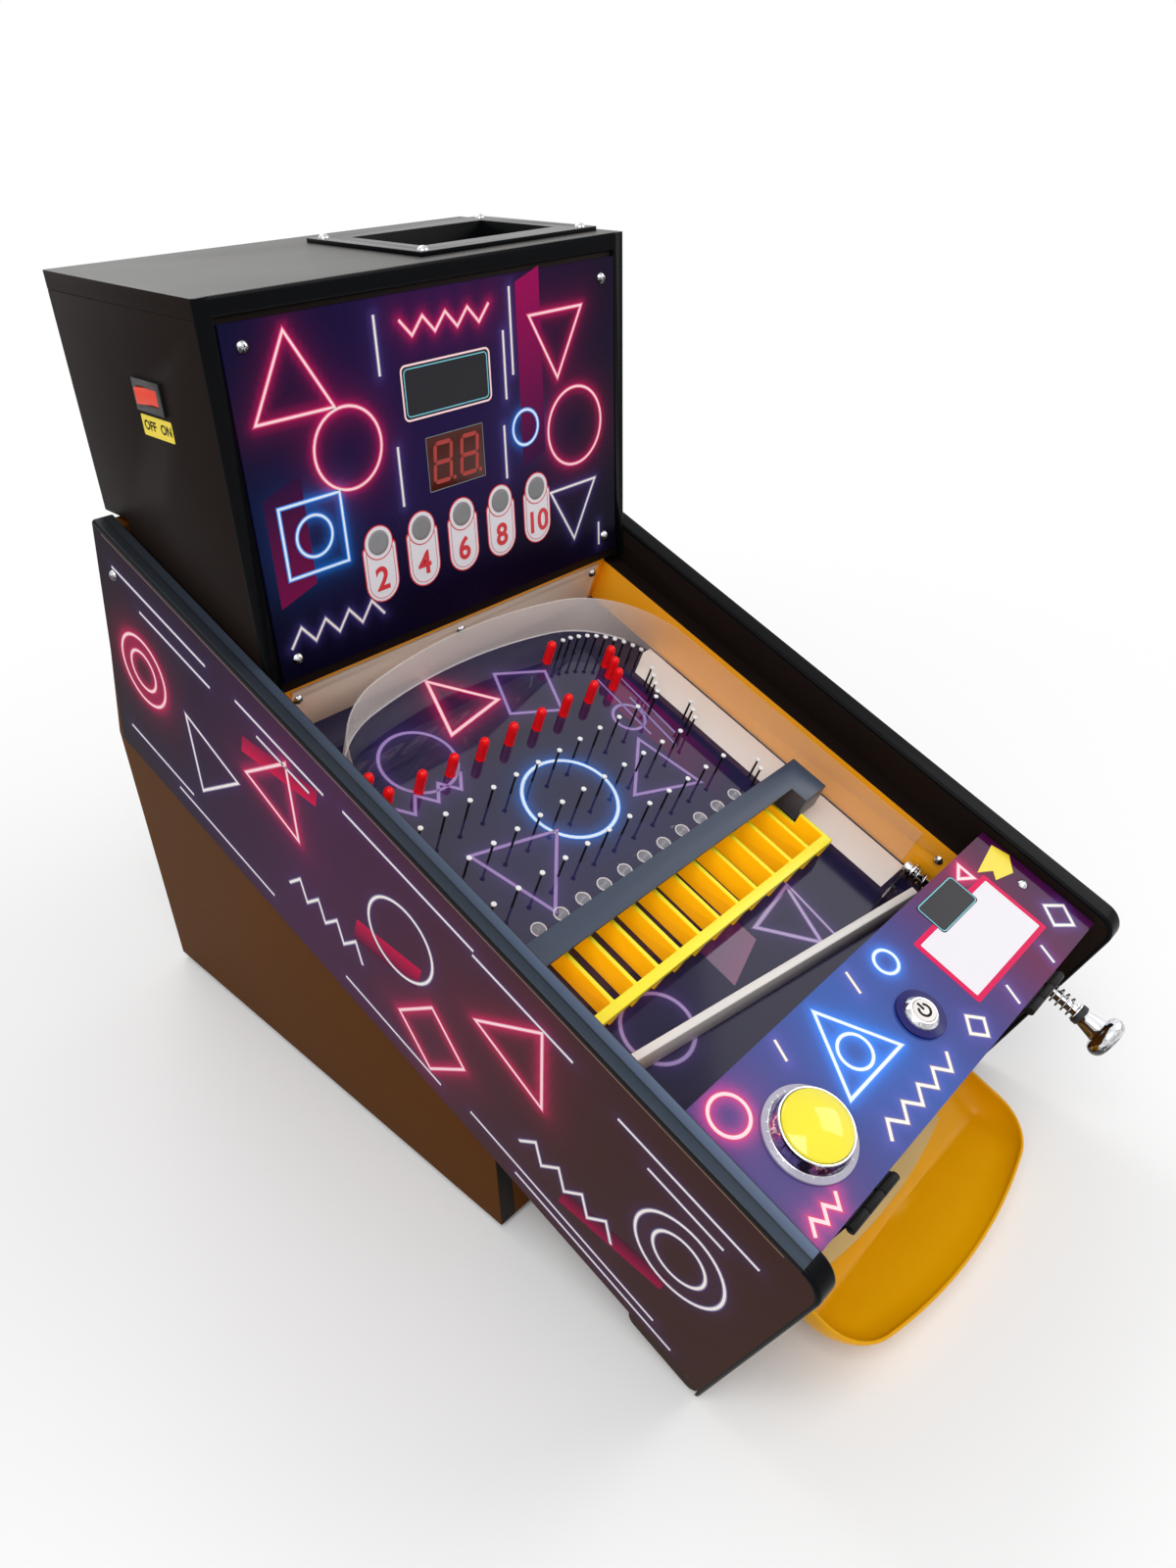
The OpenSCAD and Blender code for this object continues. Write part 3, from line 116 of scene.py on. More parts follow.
# Making pieces
NEAR = 1e-6


def link(name, mesh):
    obj = bpy.data.objects.new(name, mesh)
    bpy.context.scene.collection.objects.link(obj)
    return obj


def to_mesh(bm, name):
    mesh = bpy.data.meshes.new(name)
    bm.to_mesh(mesh)
    bm.free()
    return mesh


def smooth(mesh, degrees=32):
    mesh.polygons.foreach_set("use_smooth", [True] * len(mesh.polygons))
    mesh.set_sharp_from_angle(angle=math.radians(degrees))
    return mesh


def settle(obj):
    """The object's evaluated shape becomes its own plain mesh."""
    graph = bpy.context.evaluated_depsgraph_get()
    mesh = bpy.data.meshes.new_from_object(obj.evaluated_get(graph))
    obj.modifiers.clear()
    obj.data = mesh
    return obj


def from_curve(name, curve):
    """The evaluated shape of a curve or of words, as a plain mesh."""
    holder = link(name + "_curve", curve)
    graph = bpy.context.evaluated_depsgraph_get()
    mesh = bpy.data.meshes.new_from_object(holder.evaluated_get(graph))
    bpy.data.objects.remove(holder)
    return mesh


def piece(obj, body, look=None, nodes=()):
    """A finished piece: its finish, the body it rides on and the CAD nodes it stands for."""
    if look is not None:
        obj.data.materials.clear()
        obj.data.materials.append(look)
    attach(obj, body)
    if nodes:
        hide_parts(*nodes)
    return obj


def outward_piece(bm, name, look, body):
    """A new mesh with its faces turned outwards, as a piece."""
    bmesh.ops.recalc_face_normals(bm, faces=bm.faces)
    return piece(link(name, to_mesh(bm, name)), body, look)


def merged(node):
    bm = bmesh.new()
    bm.from_mesh(frame["nodes"][node].data)
    bmesh.ops.remove_doubles(bm, verts=bm.verts, dist=NEAR)
    return bm


def cut(bm, place, axis, cuts):
    """A mesh's faces cut along planes square to one axis of a surface."""
    along = Vector((axis == 0, axis == 1, axis == 2))
    normal = (place.to_3x3() @ along).normalized()
    for value in cuts:
        bmesh.ops.bisect_plane(bm, geom=bm.verts[:] + bm.edges[:] + bm.faces[:],
                               plane_co=place @ (value * along), plane_no=normal, dist=NEAR)


def softened(node, look, width):
    """A copy of a CAD node with its sharp edges eased, shown in the node's place."""
    bm = merged(node)
    bmesh.ops.dissolve_limit(bm, angle_limit=math.radians(0.4), verts=bm.verts, edges=bm.edges)
    obj = link(node + "_finished", to_mesh(bm, node + "_finished"))
    if width:
        bevel = obj.modifiers.new("eased edges", "BEVEL")
        bevel.width = width * MM
        bevel.segments = 2
        bevel.limit_method = "ANGLE"
        bevel.angle_limit = math.radians(35)
        bevel.use_clamp_overlap = True
        settle(obj)
    smooth(obj.data)
    return piece(obj, BODY_OF[node], look, [node])


# Shader helpers and the groups that several finishes share
def add(tree, kind, **values):
    node = tree.nodes.new(kind)
    for key, value in values.items():
        setattr(node, key, value)
    return node


def new_group(name, inputs, outputs):
    tree = bpy.data.node_groups.new(name, "ShaderNodeTree")
    for label, kind, value in inputs:
        socket = tree.interface.new_socket(label, in_out="INPUT", socket_type=kind)
        socket.default_value = value
    for label, kind in outputs:
        tree.interface.new_socket(label, in_out="OUTPUT", socket_type=kind)
    return tree, add(tree, "NodeGroupInput"), add(tree, "NodeGroupOutput")


def maths(tree, operation, a, b, c=None):
    node = add(tree, "ShaderNodeMath", operation=operation)
    for socket, value in zip(node.inputs, (a, b, c)):
        if value is None:
            continue
        if isinstance(value, (int, float)):
            socket.default_value = value
        else:
            tree.links.new(value, socket)
    return node.outputs[0]


def surface_grain():
    """Patchy tone, uneven gloss and a fine moulded grain."""
    tree, start, end = new_group(
        "surface_grain",
        [("Colour", "NodeSocketColor", (0.5, 0.5, 0.5, 1)), ("Tone Shift", "NodeSocketFloat", 0.1),
         ("Roughness", "NodeSocketFloat", 0.4), ("Gloss Shift", "NodeSocketFloat", 0.1),
         ("Patch Scale", "NodeSocketFloat", 20.0), ("Grain Scale", "NodeSocketFloat", 900.0)],
        [("Colour", "NodeSocketColor"), ("Roughness", "NodeSocketFloat"), ("Height", "NodeSocketFloat")])
    place = add(tree, "ShaderNodeTexCoord").outputs["Object"]
    patch = add(tree, "ShaderNodeTexNoise")
    patch.inputs["Detail"].default_value = 4
    grain = add(tree, "ShaderNodeTexNoise")
    grain.inputs["Detail"].default_value = 2
    for noise, label in ((patch, "Patch Scale"), (grain, "Grain Scale")):
        tree.links.new(place, noise.inputs["Vector"])
        tree.links.new(start.outputs[label], noise.inputs["Scale"])
    swing = maths(tree, "SUBTRACT", patch.outputs["Fac"], 0.5)
    fine = maths(tree, "SUBTRACT", grain.outputs["Fac"], 0.5)
    both = maths(tree, "MULTIPLY_ADD", fine, 0.5, swing)
    tone = maths(tree, "MULTIPLY_ADD", both, start.outputs["Tone Shift"], 1.0)
    shade = add(tree, "ShaderNodeVectorMath", operation="SCALE")
    tree.links.new(start.outputs["Colour"], shade.inputs[0])
    tree.links.new(tone, shade.inputs["Scale"])
    tree.links.new(shade.outputs[0], end.inputs["Colour"])
    gloss = maths(tree, "MULTIPLY_ADD", swing, start.outputs["Gloss Shift"], start.outputs["Roughness"])
    tree.links.new(gloss, end.inputs["Roughness"])
    tree.links.new(grain.outputs["Fac"], end.inputs["Height"])
    return tree


def handling_marks():
    """A mask of fine straight scratches in patches, for gloss that has been touched."""
    tree, start, end = new_group(
        "handling_marks", [("Scale", "NodeSocketFloat", 420.0), ("Amount", "NodeSocketFloat", 0.3)],
        [("Mask", "NodeSocketFloat")])
    place = add(tree, "ShaderNodeTexCoord").outputs["Object"]
    stretch = add(tree, "ShaderNodeMapping")
    stretch.inputs["Rotation"].default_value = (0.5, 0.3, 0.7)
    stretch.inputs["Scale"].default_value = (1.0, 0.03, 1.0)
    tree.links.new(place, stretch.inputs["Vector"])
    hair = add(tree, "ShaderNodeTexNoise")
    tree.links.new(stretch.outputs["Vector"], hair.inputs["Vector"])
    tree.links.new(start.outputs["Scale"], hair.inputs["Scale"])
    line = maths(tree, "GREATER_THAN", hair.outputs["Fac"], 0.66)
    smudge = add(tree, "ShaderNodeTexNoise")
    smudge.inputs["Scale"].default_value = 14
    tree.links.new(place, smudge.inputs["Vector"])
    gate = maths(tree, "GREATER_THAN", smudge.outputs["Fac"], 0.54)
    patchy = maths(tree, "MULTIPLY", line, gate)
    tree.links.new(maths(tree, "MULTIPLY", patchy, start.outputs["Amount"]), end.inputs["Mask"])
    return tree


def painted_reflection_bands():
    """Painted reflection: dark and bright bands, as polished metal shows them, from the way the surface
    faces.
    """
    tree, start, end = new_group(
        "painted_reflection_bands", [("Wander", "NodeSocketFloat", 0.06)], [("Colour", "NodeSocketColor")])
    coords = add(tree, "ShaderNodeTexCoord")
    facing = add(tree, "ShaderNodeSeparateXYZ")
    tree.links.new(coords.outputs["Normal"], facing.inputs[0])
    noise = add(tree, "ShaderNodeTexNoise")
    noise.inputs["Scale"].default_value = 3.2
    tree.links.new(coords.outputs["Normal"], noise.inputs["Vector"])
    swing = maths(tree, "SUBTRACT", noise.outputs["Fac"], 0.5)
    drift = maths(tree, "MULTIPLY", swing, start.outputs["Wander"])
    height = maths(tree, "ADD", maths(tree, "MULTIPLY_ADD", facing.outputs["Z"], 0.5, 0.5), drift)
    ramp = add(tree, "ShaderNodeValToRGB")
    stops = ramp.color_ramp.elements
    stops[0].position, stops[0].color = 0.0, (0.35, 0.34, 0.33, 1)
    stops[1].position, stops[1].color = 1.0, (0.86, 0.87, 0.9, 1)
    for place, level in ((0.3, 0.08), (0.46, 0.05), (0.58, 0.55), (0.66, 0.8), (0.8, 0.42)):
        stops.new(place).color = (level, level, level * 1.04, 1)
    tree.links.new(height, ramp.inputs["Fac"])
    tree.links.new(ramp.outputs["Color"], end.inputs["Colour"])
    return tree


GRAIN = surface_grain()
MARKS = handling_marks()
REFLECTION_BANDS = painted_reflection_bands()
GRAIN_DEPTH, PATCH_SCALE = 0.0004, 18.0


def finish(name, colour, rough, tone=0.12, gloss=0.08, grain=900.0, bump=0.0, marks=0.0, tint=False,
           bands=0.0, haze=None, **sockets):
    """A finish: its colour and gloss vary through the shared groups, plain values sit on the shader.
    With tint the colour comes from the mesh, and with bands from a painted reflection that follows the way
    the surface faces."""
    material = bpy.data.materials.new(name)
    material.use_nodes = True
    tree = material.node_tree
    shader = tree.nodes["Principled BSDF"]
    for label, value in sockets.items():
        shader.inputs[label.replace("_", " ").title().replace("Ior", "IOR")].default_value = value
    group = add(tree, "ShaderNodeGroup", node_tree=GRAIN)
    for label, value in (("Tone Shift", tone), ("Roughness", rough), ("Gloss Shift", gloss),
                         ("Patch Scale", PATCH_SCALE), ("Grain Scale", grain)):
        group.inputs[label].default_value = value
    if tint:
        printed = add(tree, "ShaderNodeAttribute", attribute_name="tint")
        tree.links.new(printed.outputs["Color"], group.inputs["Colour"])
    elif bands:
        reflection_group = add(tree, "ShaderNodeGroup", node_tree=REFLECTION_BANDS)
        reflection_group.inputs["Wander"].default_value = bands
        tree.links.new(reflection_group.outputs["Colour"], group.inputs["Colour"])
    else:
        group.inputs["Colour"].default_value = (*colour, 1)
    tree.links.new(group.outputs["Colour"], shader.inputs["Base Color"])
    dull = group.outputs["Roughness"]
    if marks:
        scratches = add(tree, "ShaderNodeGroup", node_tree=MARKS)
        scratches.inputs["Amount"].default_value = marks
        dull = maths(tree, "ADD", dull, scratches.outputs["Mask"])
    tree.links.new(dull, shader.inputs["Roughness"])
    if haze:
        cloud = add(tree, "ShaderNodeAttribute", attribute_name="haze")
        thick = maths(tree, "MULTIPLY_ADD", cloud.outputs["Fac"], haze[1] - haze[0], haze[0])
        tree.links.new(thick, shader.inputs["Alpha"])
    if bump:
        relief = add(tree, "ShaderNodeBump")
        relief.inputs["Strength"].default_value = bump
        relief.inputs["Distance"].default_value = GRAIN_DEPTH
        tree.links.new(group.outputs["Height"], relief.inputs["Height"])
        tree.links.new(relief.outputs["Normal"], shader.inputs["Normal"])
    return material


def srgb(r, g, b):
    return tuple(((c / 255 + 0.055) / 1.055) ** 2.4 if c > 10 else c / 255 / 12.92 for c in (r, g, b))


# Boards, mouldings and liners
DARK_BOARD = finish("dark_board", srgb(86, 49, 12), 0.55, tone=0.25, bump=0.05, marks=0.1,
                    specular_ior_level=0.02)
HEAD_BLACK = finish("head_black", srgb(26, 18, 15), 0.5, tone=0.2, grain=1600, bump=0.12,
                    specular_ior_level=0.05)
HEAD_TOP = finish("head_top_black", srgb(36, 33, 29), 0.42, tone=0.2, grain=1600, bump=0.12,
                  specular_ior_level=0.6)
BARE_FIBRE = finish("bare_fibre", srgb(205, 170, 105), 0.6, tone=0.3, grain=500, bump=0.1)
MOULDING = finish("black_moulding", srgb(10, 11, 13), 0.24, tone=0.15, gloss=0.12, grain=700, bump=0.02,
                  marks=0.15, specular_ior_level=0.045)
# Painted highlight: this finish takes the moulding's light bands and shaded crease from the mesh
MOULDING_PAINTED_HIGHLIGHT = finish("moulding_painted_highlight", None, 0.24, tone=0.15, grain=700, marks=0.15, tint=True,
                        specular_ior_level=0.12)
LINER_ORANGE = finish("liner_orange", srgb(255, 172, 20), 0.3, tone=0.08, bump=0.02, marks=0.15)
FOOT_BROWN = finish("foot_brown", srgb(54, 36, 29), 0.5, tone=0.2, specular_ior_level=0.04)

# Printed sheets
SIDE_PRINT = finish("side_print", None, 0.34, tone=0.1, grain=1400, bump=0.03, marks=0.06, tint=True,
                    specular_ior_level=0.02)
HEAD_PRINT = finish("head_print", None, 0.2, tone=0.08, grain=1400, bump=0.02, marks=0.1, tint=True,
                    specular_ior_level=0.04)
FIELD_PRINT = finish("field_print", None, 0.04, tone=0.08, gloss=0.03, marks=0.08, tint=True,
                     specular_ior_level=0.5)
FIELD_PRINT_DULL = finish("field_print_dull", None, 0.1, tone=0.08, gloss=0.05, marks=0.12, tint=True,
                          specular_ior_level=0.18)
PANEL_PRINT = finish("panel_print", None, 0.1, tone=0.08, gloss=0.05, marks=0.12, tint=True,
                     specular_ior_level=0.12)

# Fittings of the playfield and the head
# The clear strip glows faintly: painted light that brightens it where it faces away from the lamps
CLEAR = finish("clear_strip", srgb(214, 208, 206), 0.2, tone=0.06, gloss=0.1, marks=0.1, haze=(0.1, 0.5),
               emission_color=(0.8, 0.7, 0.64, 1), emission_strength=0.14)
PALE_COVER = finish("pale_cover", srgb(222, 203, 188), 0.22, tone=0.08)
NAIL_DARK = finish("nail_dark", srgb(36, 36, 40), 0.3, tone=0.2, metallic=0.8)
NAIL_HEAD = finish("nail_head", srgb(236, 236, 236), 0.25, tone=0.1, metallic=0.3)
CAP_RED = finish("cap_red", srgb(246, 16, 24), 0.28, tone=0.1, bump=0.03, specular_ior_level=0.25)
SWITCH_RED = finish("switch_red", srgb(232, 60, 28), 0.24, tone=0.08)
SLATE = finish("bridge_slate", srgb(52, 63, 82), 0.34, tone=0.12, grain=1200, bump=0.06)
DIVIDER_YELLOW = finish("divider_yellow", srgb(255, 238, 48), 0.34, tone=0.08, bump=0.02)
# Painted glow: the emission lifts the slot walls' sides out of their shade
DIVIDER_ORANGE = finish("divider_orange", srgb(255, 204, 14), 0.34, tone=0.08, bump=0.02,
                        specular_ior_level=0.2, emission_color=(1.0, 0.42, 0.0, 1), emission_strength=0.3)
DOME_YELLOW = finish("dome_yellow", srgb(245, 230, 30), 0.12, tone=0.05, coat_weight=0.5,
                     coat_roughness=0.04)
WHITE = finish("white_plastic", srgb(232, 226, 222), 0.3, tone=0.06, bump=0.02)
LENS = finish("frosted_lens", srgb(150, 150, 158), 0.22, tone=0.3, grain=1800, bump=0.3)
LAMP = finish("lamp_diffuser", srgb(128, 128, 130), 0.45, tone=0.8, grain=2600, bump=0.5)

# Buttons, plunger, tray and inner works
# Chrome and spring steel take painted reflection bands as their colour
CHROME = finish("chrome", None, 0.06, tone=0.06, gloss=0.06, marks=0.12, bands=0.7, metallic=1.0)
SPRING = finish("spring_steel", None, 0.16, tone=0.2, bands=0.4, metallic=1.0)
BLUE_RING = finish("button_blue", srgb(24, 22, 98), 0.2, tone=0.1, specular_ior_level=0.3)
BLACK_METAL = finish("black_metal", srgb(13, 13, 14), 0.45, tone=0.2, bump=0.05, specular_ior_level=0.15)
RUBBER = finish("black_rubber", srgb(18, 18, 18), 0.6, tone=0.3, grain=1500, bump=0.2)
TRAY_YELLOW = finish("tray_yellow", srgb(230, 164, 0), 0.3, tone=0.1, grain=700, bump=0.03, marks=0.15,
                     specular_ior_level=0.16)
BLACK_PLASTIC = finish("black_plastic", srgb(22, 23, 25), 0.32, tone=0.15, grain=1500, bump=0.1)
FILTER_RED = finish("filter_red", srgb(72, 26, 18), 0.15, tone=0.1, specular_ior_level=0.2)
SEGMENT = finish("segment_red", srgb(166, 36, 27), 0.3, tone=0.15)
GREY_MOULDED = finish("grey_moulded", srgb(112, 120, 128), 0.45, tone=0.15, bump=0.05)
ZINC = finish("motor_zinc", (0.5, 0.51, 0.53), 0.32, tone=0.2, metallic=1.0)
SOLDER_MASK = finish("solder_mask", srgb(30, 106, 58), 0.35, tone=0.2)

# Printed lines, cards and labels
CORE_WHITE = finish("line_white", srgb(242, 232, 226), 0.3, tone=0.04)
CORE_PINK = finish("line_pink", srgb(255, 214, 220), 0.3, tone=0.04)
CORE_BLUE = finish("line_blue", srgb(226, 240, 255), 0.3, tone=0.04)
CORE_DIM = finish("line_violet", srgb(158, 132, 192), 0.05, tone=0.05)
EDGE_PINK = finish("line_edge_pink", srgb(214, 44, 106), 0.3, tone=0.06)
EDGE_BLUE = finish("line_edge_blue", srgb(36, 128, 226), 0.3, tone=0.06)
EDGE_WHITE = finish("line_edge_grey", srgb(96, 88, 140), 0.3, tone=0.06)
EDGE_DIM = finish("line_edge_violet", srgb(74, 52, 108), 0.05, tone=0.06)
FLANGE_PALE = finish("flange_pale", srgb(176, 172, 190), 0.2, tone=0.06)
CARD_WHITE = finish("card_white", srgb(224, 220, 226), 0.3, tone=0.05)
BADGE_RED = finish("badge_red", srgb(206, 30, 44), 0.3, tone=0.06)
CARD_PINK = finish("card_pink", srgb(218, 10, 84), 0.3, tone=0.06, specular_ior_level=0.1)
PLATE_DARK = finish("plate_dark", srgb(30, 29, 35), 0.3, tone=0.1, specular_ior_level=0.2)
PLATE_EDGE = finish("plate_edge", srgb(150, 118, 96), 0.4, tone=0.1)
LINE_CYAN = finish("line_cyan", srgb(110, 190, 205), 0.3, tone=0.05)
LABEL_YELLOW = finish("label_yellow", srgb(240, 214, 40), 0.35, tone=0.08)
INK = finish("label_ink", srgb(14, 13, 12), 0.4, tone=0.1, specular_ior_level=0.1)
SMOKED = finish("smoked_leaf", (0.05, 0.045, 0.05), 0.1, tone=0.1, transmission_weight=0.5, ior=1.49)

# Pieces that keep their CAD shape, with eased edges
FINISHES = {
    "side_left": HEAD_BLACK, "side_right": HEAD_BLACK, "base_front": DARK_BOARD, "base_back": DARK_BOARD,
    "base_floor": DARK_BOARD, "back_panel": DARK_BOARD, "belly_panel": DARK_BOARD, "front_board": DARK_BOARD,
    "head_left": HEAD_BLACK, "head_right": HEAD_BLACK, "head_top": HEAD_TOP, "head_back": HEAD_BLACK,
    "head_board": HEAD_BLACK, "head_trim": MOULDING, "trim_left": MOULDING, "trim_right": MOULDING,
    "playfield_board": BARE_FIBRE, "ball_ramp": BARE_FIBRE, "liner_left": LINER_ORANGE,
    "liner_right": LINER_ORANGE, "liner_rear": LINER_ORANGE, "rear_cover": PALE_COVER, "arch_strip": CLEAR,
    "slot_bridge": SLATE, "slot_divider": DIVIDER_YELLOW, "return_rail": WHITE, "panel_screw": CHROME,
    "hinge_fixed": BLACK_METAL, "hinge_moving": BLACK_METAL, "dome_body": CHROME, "dome_cap": DOME_YELLOW,
    "power_body": BLUE_RING, "power_cap": WHITE, "plunger_rod": CHROME, "plunger_bushing": CHROME,
    "plunger_ring": RUBBER, "insert_tray": BLACK_PLASTIC,
    "rocker_bezel": BLACK_PLASTIC, "rocker_paddle": SWITCH_RED, "display": FILTER_RED,
    "ball_hopper": GREY_MOULDED, "dispenser_wheel": WHITE, "dispenser_motor": ZINC,
    "circuit_board": SOLDER_MASK, "power_inlet": BLACK_PLASTIC, "screws": CHROME, "feet": RUBBER,
}
EASE = {"screws": 0.15, "panel_screw": 0.15, "hinge_fixed": 0.2, "hinge_moving": 0.2, "rocker_bezel": 0.4,
        "arch_strip": 0.2, "rear_cover": 0.3, "dome_body": 0.4, "power_body": 0.3,
        "power_cap": 0.3, "display": 0.2, "plunger_rod": 0.4, "trim_left": 0.0, "trim_right": 0.0,
        "head_trim": 0.0}
DRESSED = {node: softened(node, look, EASE.get(node, 0.6)) for node, look in FINISHES.items()}


# Parts of a piece that look different from the rest of it
def second_tone(obj, place, look, chosen):
    """Faces picked by their place on a surface and the way they face get another finish."""
    obj.data.materials.append(look)
    back = place.inverted()
    for face in obj.data.polygons:
        if chosen(back @ face.center, face.normal):
            face.material_index = len(obj.data.materials) - 1


def split(obj, place, axis, cuts):
    """A piece's faces cut along planes square to one axis of a surface."""
    bm = bmesh.new()
    bm.from_mesh(obj.data)
    cut(bm, place, axis, cuts)
    bm.to_mesh(obj.data)
    bm.free()


def beyond(x, y, reach, low, high):
    """Picks the faces outside a circle, between two heights."""
    return lambda p, normal: math.hypot(p.x - x, p.y - y) > reach and low < p.z < high


# The dome button's flange is pale and the power button's ring is chrome
FLANGE_IN, FLANGE_LOW, FLANGE_TOP = 25.8, -0.5, 2.7
RING_LOW, RING_TOP = 2.75, 9.0
second_tone(DRESSED["dome_body"], ON_PANEL, FLANGE_PALE,
            beyond(DOME_X, -BUTTON_S, FLANGE_IN, FLANGE_LOW, FLANGE_TOP))
second_tone(DRESSED["power_body"], ON_PANEL, CHROME, beyond(POWER_X, -BUTTON_S, 0.0, RING_LOW, RING_TOP))

# The slot walls look deeper orange through their sides than along their edges, as translucent sheet does, and
# their sides carry a little painted glow that lifts them out of shade
second_tone(DRESSED["slot_divider"], ON_FIELD, DIVIDER_ORANGE, lambda p, normal: abs(normal.x) > 0.8)

# Painted highlight on the left moulding's run along the deck: two lighter bands, brighter towards the front,
# with painted shade in the crease between them.
# Each row has a depth on the moulding, its tone at the rear and its tone at the front
MOULDING_RUN, RUN_PARTS, MOULDING_LIP = DECK_LEN - 15, 8, 2.0
PAINTED_HIGHLIGHT_ROWS = [(0.0, (14, 15, 17), (14, 15, 17)),
         (-2.6, (38, 40, 44), (54, 65, 79)),
         (-7.4, (36, 38, 42), (46, 56, 68)),
         (-8.4, (26, 28, 31), (24, 28, 33)),
         (-9.4, (38, 40, 44), (78, 92, 115)),
         (-14.4, (38, 40, 44), (92, 107, 132)),
         (-17.0, (14, 15, 17), (14, 15, 17))]


def paint_moulding_highlight(obj):
    split(obj, ON_LEFT, 2, [depth for depth, rear, front in PAINTED_HIGHLIGHT_ROWS[1:-1]])
    split(obj, ON_LEFT, 0, [i * MOULDING_RUN / RUN_PARTS for i in range(1, RUN_PARTS + 1)])
    second_tone(obj, ON_LEFT, MOULDING_PAINTED_HIGHLIGHT, lambda p, normal: p.x < MOULDING_RUN and p.y > -MOULDING_LIP)
    tint = obj.data.attributes.new("tint", "FLOAT_COLOR", "POINT")
    back = ON_LEFT.inverted()
    for vert, colour in zip(obj.data.vertices, tint.data):
        at = back @ vert.co
        rear, front = min(PAINTED_HIGHLIGHT_ROWS, key=lambda row: abs(row[0] - at.z))[1:]
        part = min(1.0, max(0.0, at.x / MOULDING_RUN))
        colour.color = (*(a + (b - a) * part for a, b in zip(srgb(*rear), srgb(*front))), 1)


paint_moulding_highlight(DRESSED["trim_left"])

# The side boards are brown outside, and darker at their front feet
BOARD_SKIN, FOOT_SKIN, FOOT_S = 9.0, 12.0, DECK_LEN - 150
for label, place, side in SIDES:
    board = DRESSED["side_" + label]
    second_tone(board, place, DARK_BOARD, lambda p, normal: p.z > -BOARD_SKIN)
    split(board, place, 0, [side * FOOT_S])
    second_tone(board, place, FOOT_BROWN, lambda p, normal: abs(p.x) > FOOT_S and p.z > -FOOT_SKIN)

# The edges of the head's top and the insert tray's walls stay dark
second_tone(DRESSED["head_top"], ON_HEAD, HEAD_BLACK, lambda p, normal: normal.z < 0.5)
second_tone(DRESSED["insert_tray"], ON_HEAD, MOULDING, lambda p, normal: normal.z < 0.6)

# The strip looks clear where it lies on the liners and cloudy where it stands off them
CLOUD_REACH = 45.0
strip = DRESSED["arch_strip"].data
cloud = strip.attributes.new("haze", "FLOAT", "POINT")
cloud.data.foreach_set("value", [min(1.0, (WALL_X - abs(v.co.x) / MM) / CLOUD_REACH) for v in strip.vertices])


# Outlines for the printed sheets, in millimetres on the sheet
def arc(x, y, r, start, stop, steps):
    """Points round a centre, from one angle to another in degrees."""
    turns = [math.radians(start + (stop - start) * i / steps) for i in range(steps + 1)]
    return [(x + r * math.cos(a), y + r * math.sin(a)) for a in turns]


def corners(x, y, r, count, turn):
    return arc(x, y, r, turn, turn + 360, count)[:-1]


def ring(x, y, r, count=48):
    return corners(x, y, r, count, 0)


def zigzag(x, y, dx, dy, count):
    return [(x + dx * i, y + dy * (i % 2)) for i in range(count)]


def rounded(x0, y0, x1, y1, r, steps=8):
    centres = ((x1 - r, y1 - r, 0), (x0 + r, y1 - r, 90), (x0 + r, y0 + r, 180), (x1 - r, y0 + r, 270))
    return [p for x, y, start in centres for p in arc(x, y, r, start, start + 90, steps)]


def leaning(x, y, w, h, lean):
    return [(x, y), (x + w, y + lean), (x + w, y + h + lean), (x, y + h)]


def mirrored(points, side):
    return [(side * x, y) for x, y in points]


def neon(points, glow, closed=True):
    return {"points": points, "glow": glow, "closed": closed}


def dash(start, stop, glow, width):
    return {"points": [start, stop], "glow": glow, "closed": False, "width": width}


# Printed sheets, their bars and their lines
GLOW = {"pink": np.array(srgb(225, 20, 95)), "blue": np.array(srgb(10, 120, 225)),
        "white": np.array(srgb(70, 60, 130)), "violet": np.array(srgb(70, 45, 110))}
CORE = {"pink": CORE_PINK, "blue": CORE_BLUE, "white": CORE_WHITE, "violet": CORE_DIM}
EDGE = {"pink": EDGE_PINK, "blue": EDGE_BLUE, "white": EDGE_WHITE, "violet": EDGE_DIM}
HALO_NEAR, HALO_FAR, HALO_SPREAD = 0.5, 0.2, 2.2
TILE_LOW, TILE_HIGH = -0.04, 0.025
LINE_LOW, EDGE_EXTRA = -0.05, 1.7


def segments(shape):
    pts = shape["points"]
    last = len(pts) if shape["closed"] else len(pts) - 1
    return [(pts[i], pts[(i + 1) % len(pts)]) for i in range(last)]


def nearest(points, shape):
    best = np.full(len(points), 1e9)
    for a, b in segments(shape):
        a, b = np.array(a), np.array(b)
        along = b - a
        t = np.clip(((points - a) @ along) / max(along @ along, 1e-9), 0, 1)
        best = np.minimum(best, np.linalg.norm(points - (a + t[:, None] * along), axis=1))
    return best


def blend(points, axis, start, stop, colours):
    """A ground that runs through some colours along one axis of the sheet."""
    t = np.clip((points[:, axis] - start) / (stop - start), 0, 1) * (len(colours) - 1)
    i = np.minimum(t.astype(int), len(colours) - 2)
    stops = np.array([srgb(*c) for c in colours])
    part = (t - i)[:, None]
    return stops[i] * (1 - part) + stops[i + 1] * part


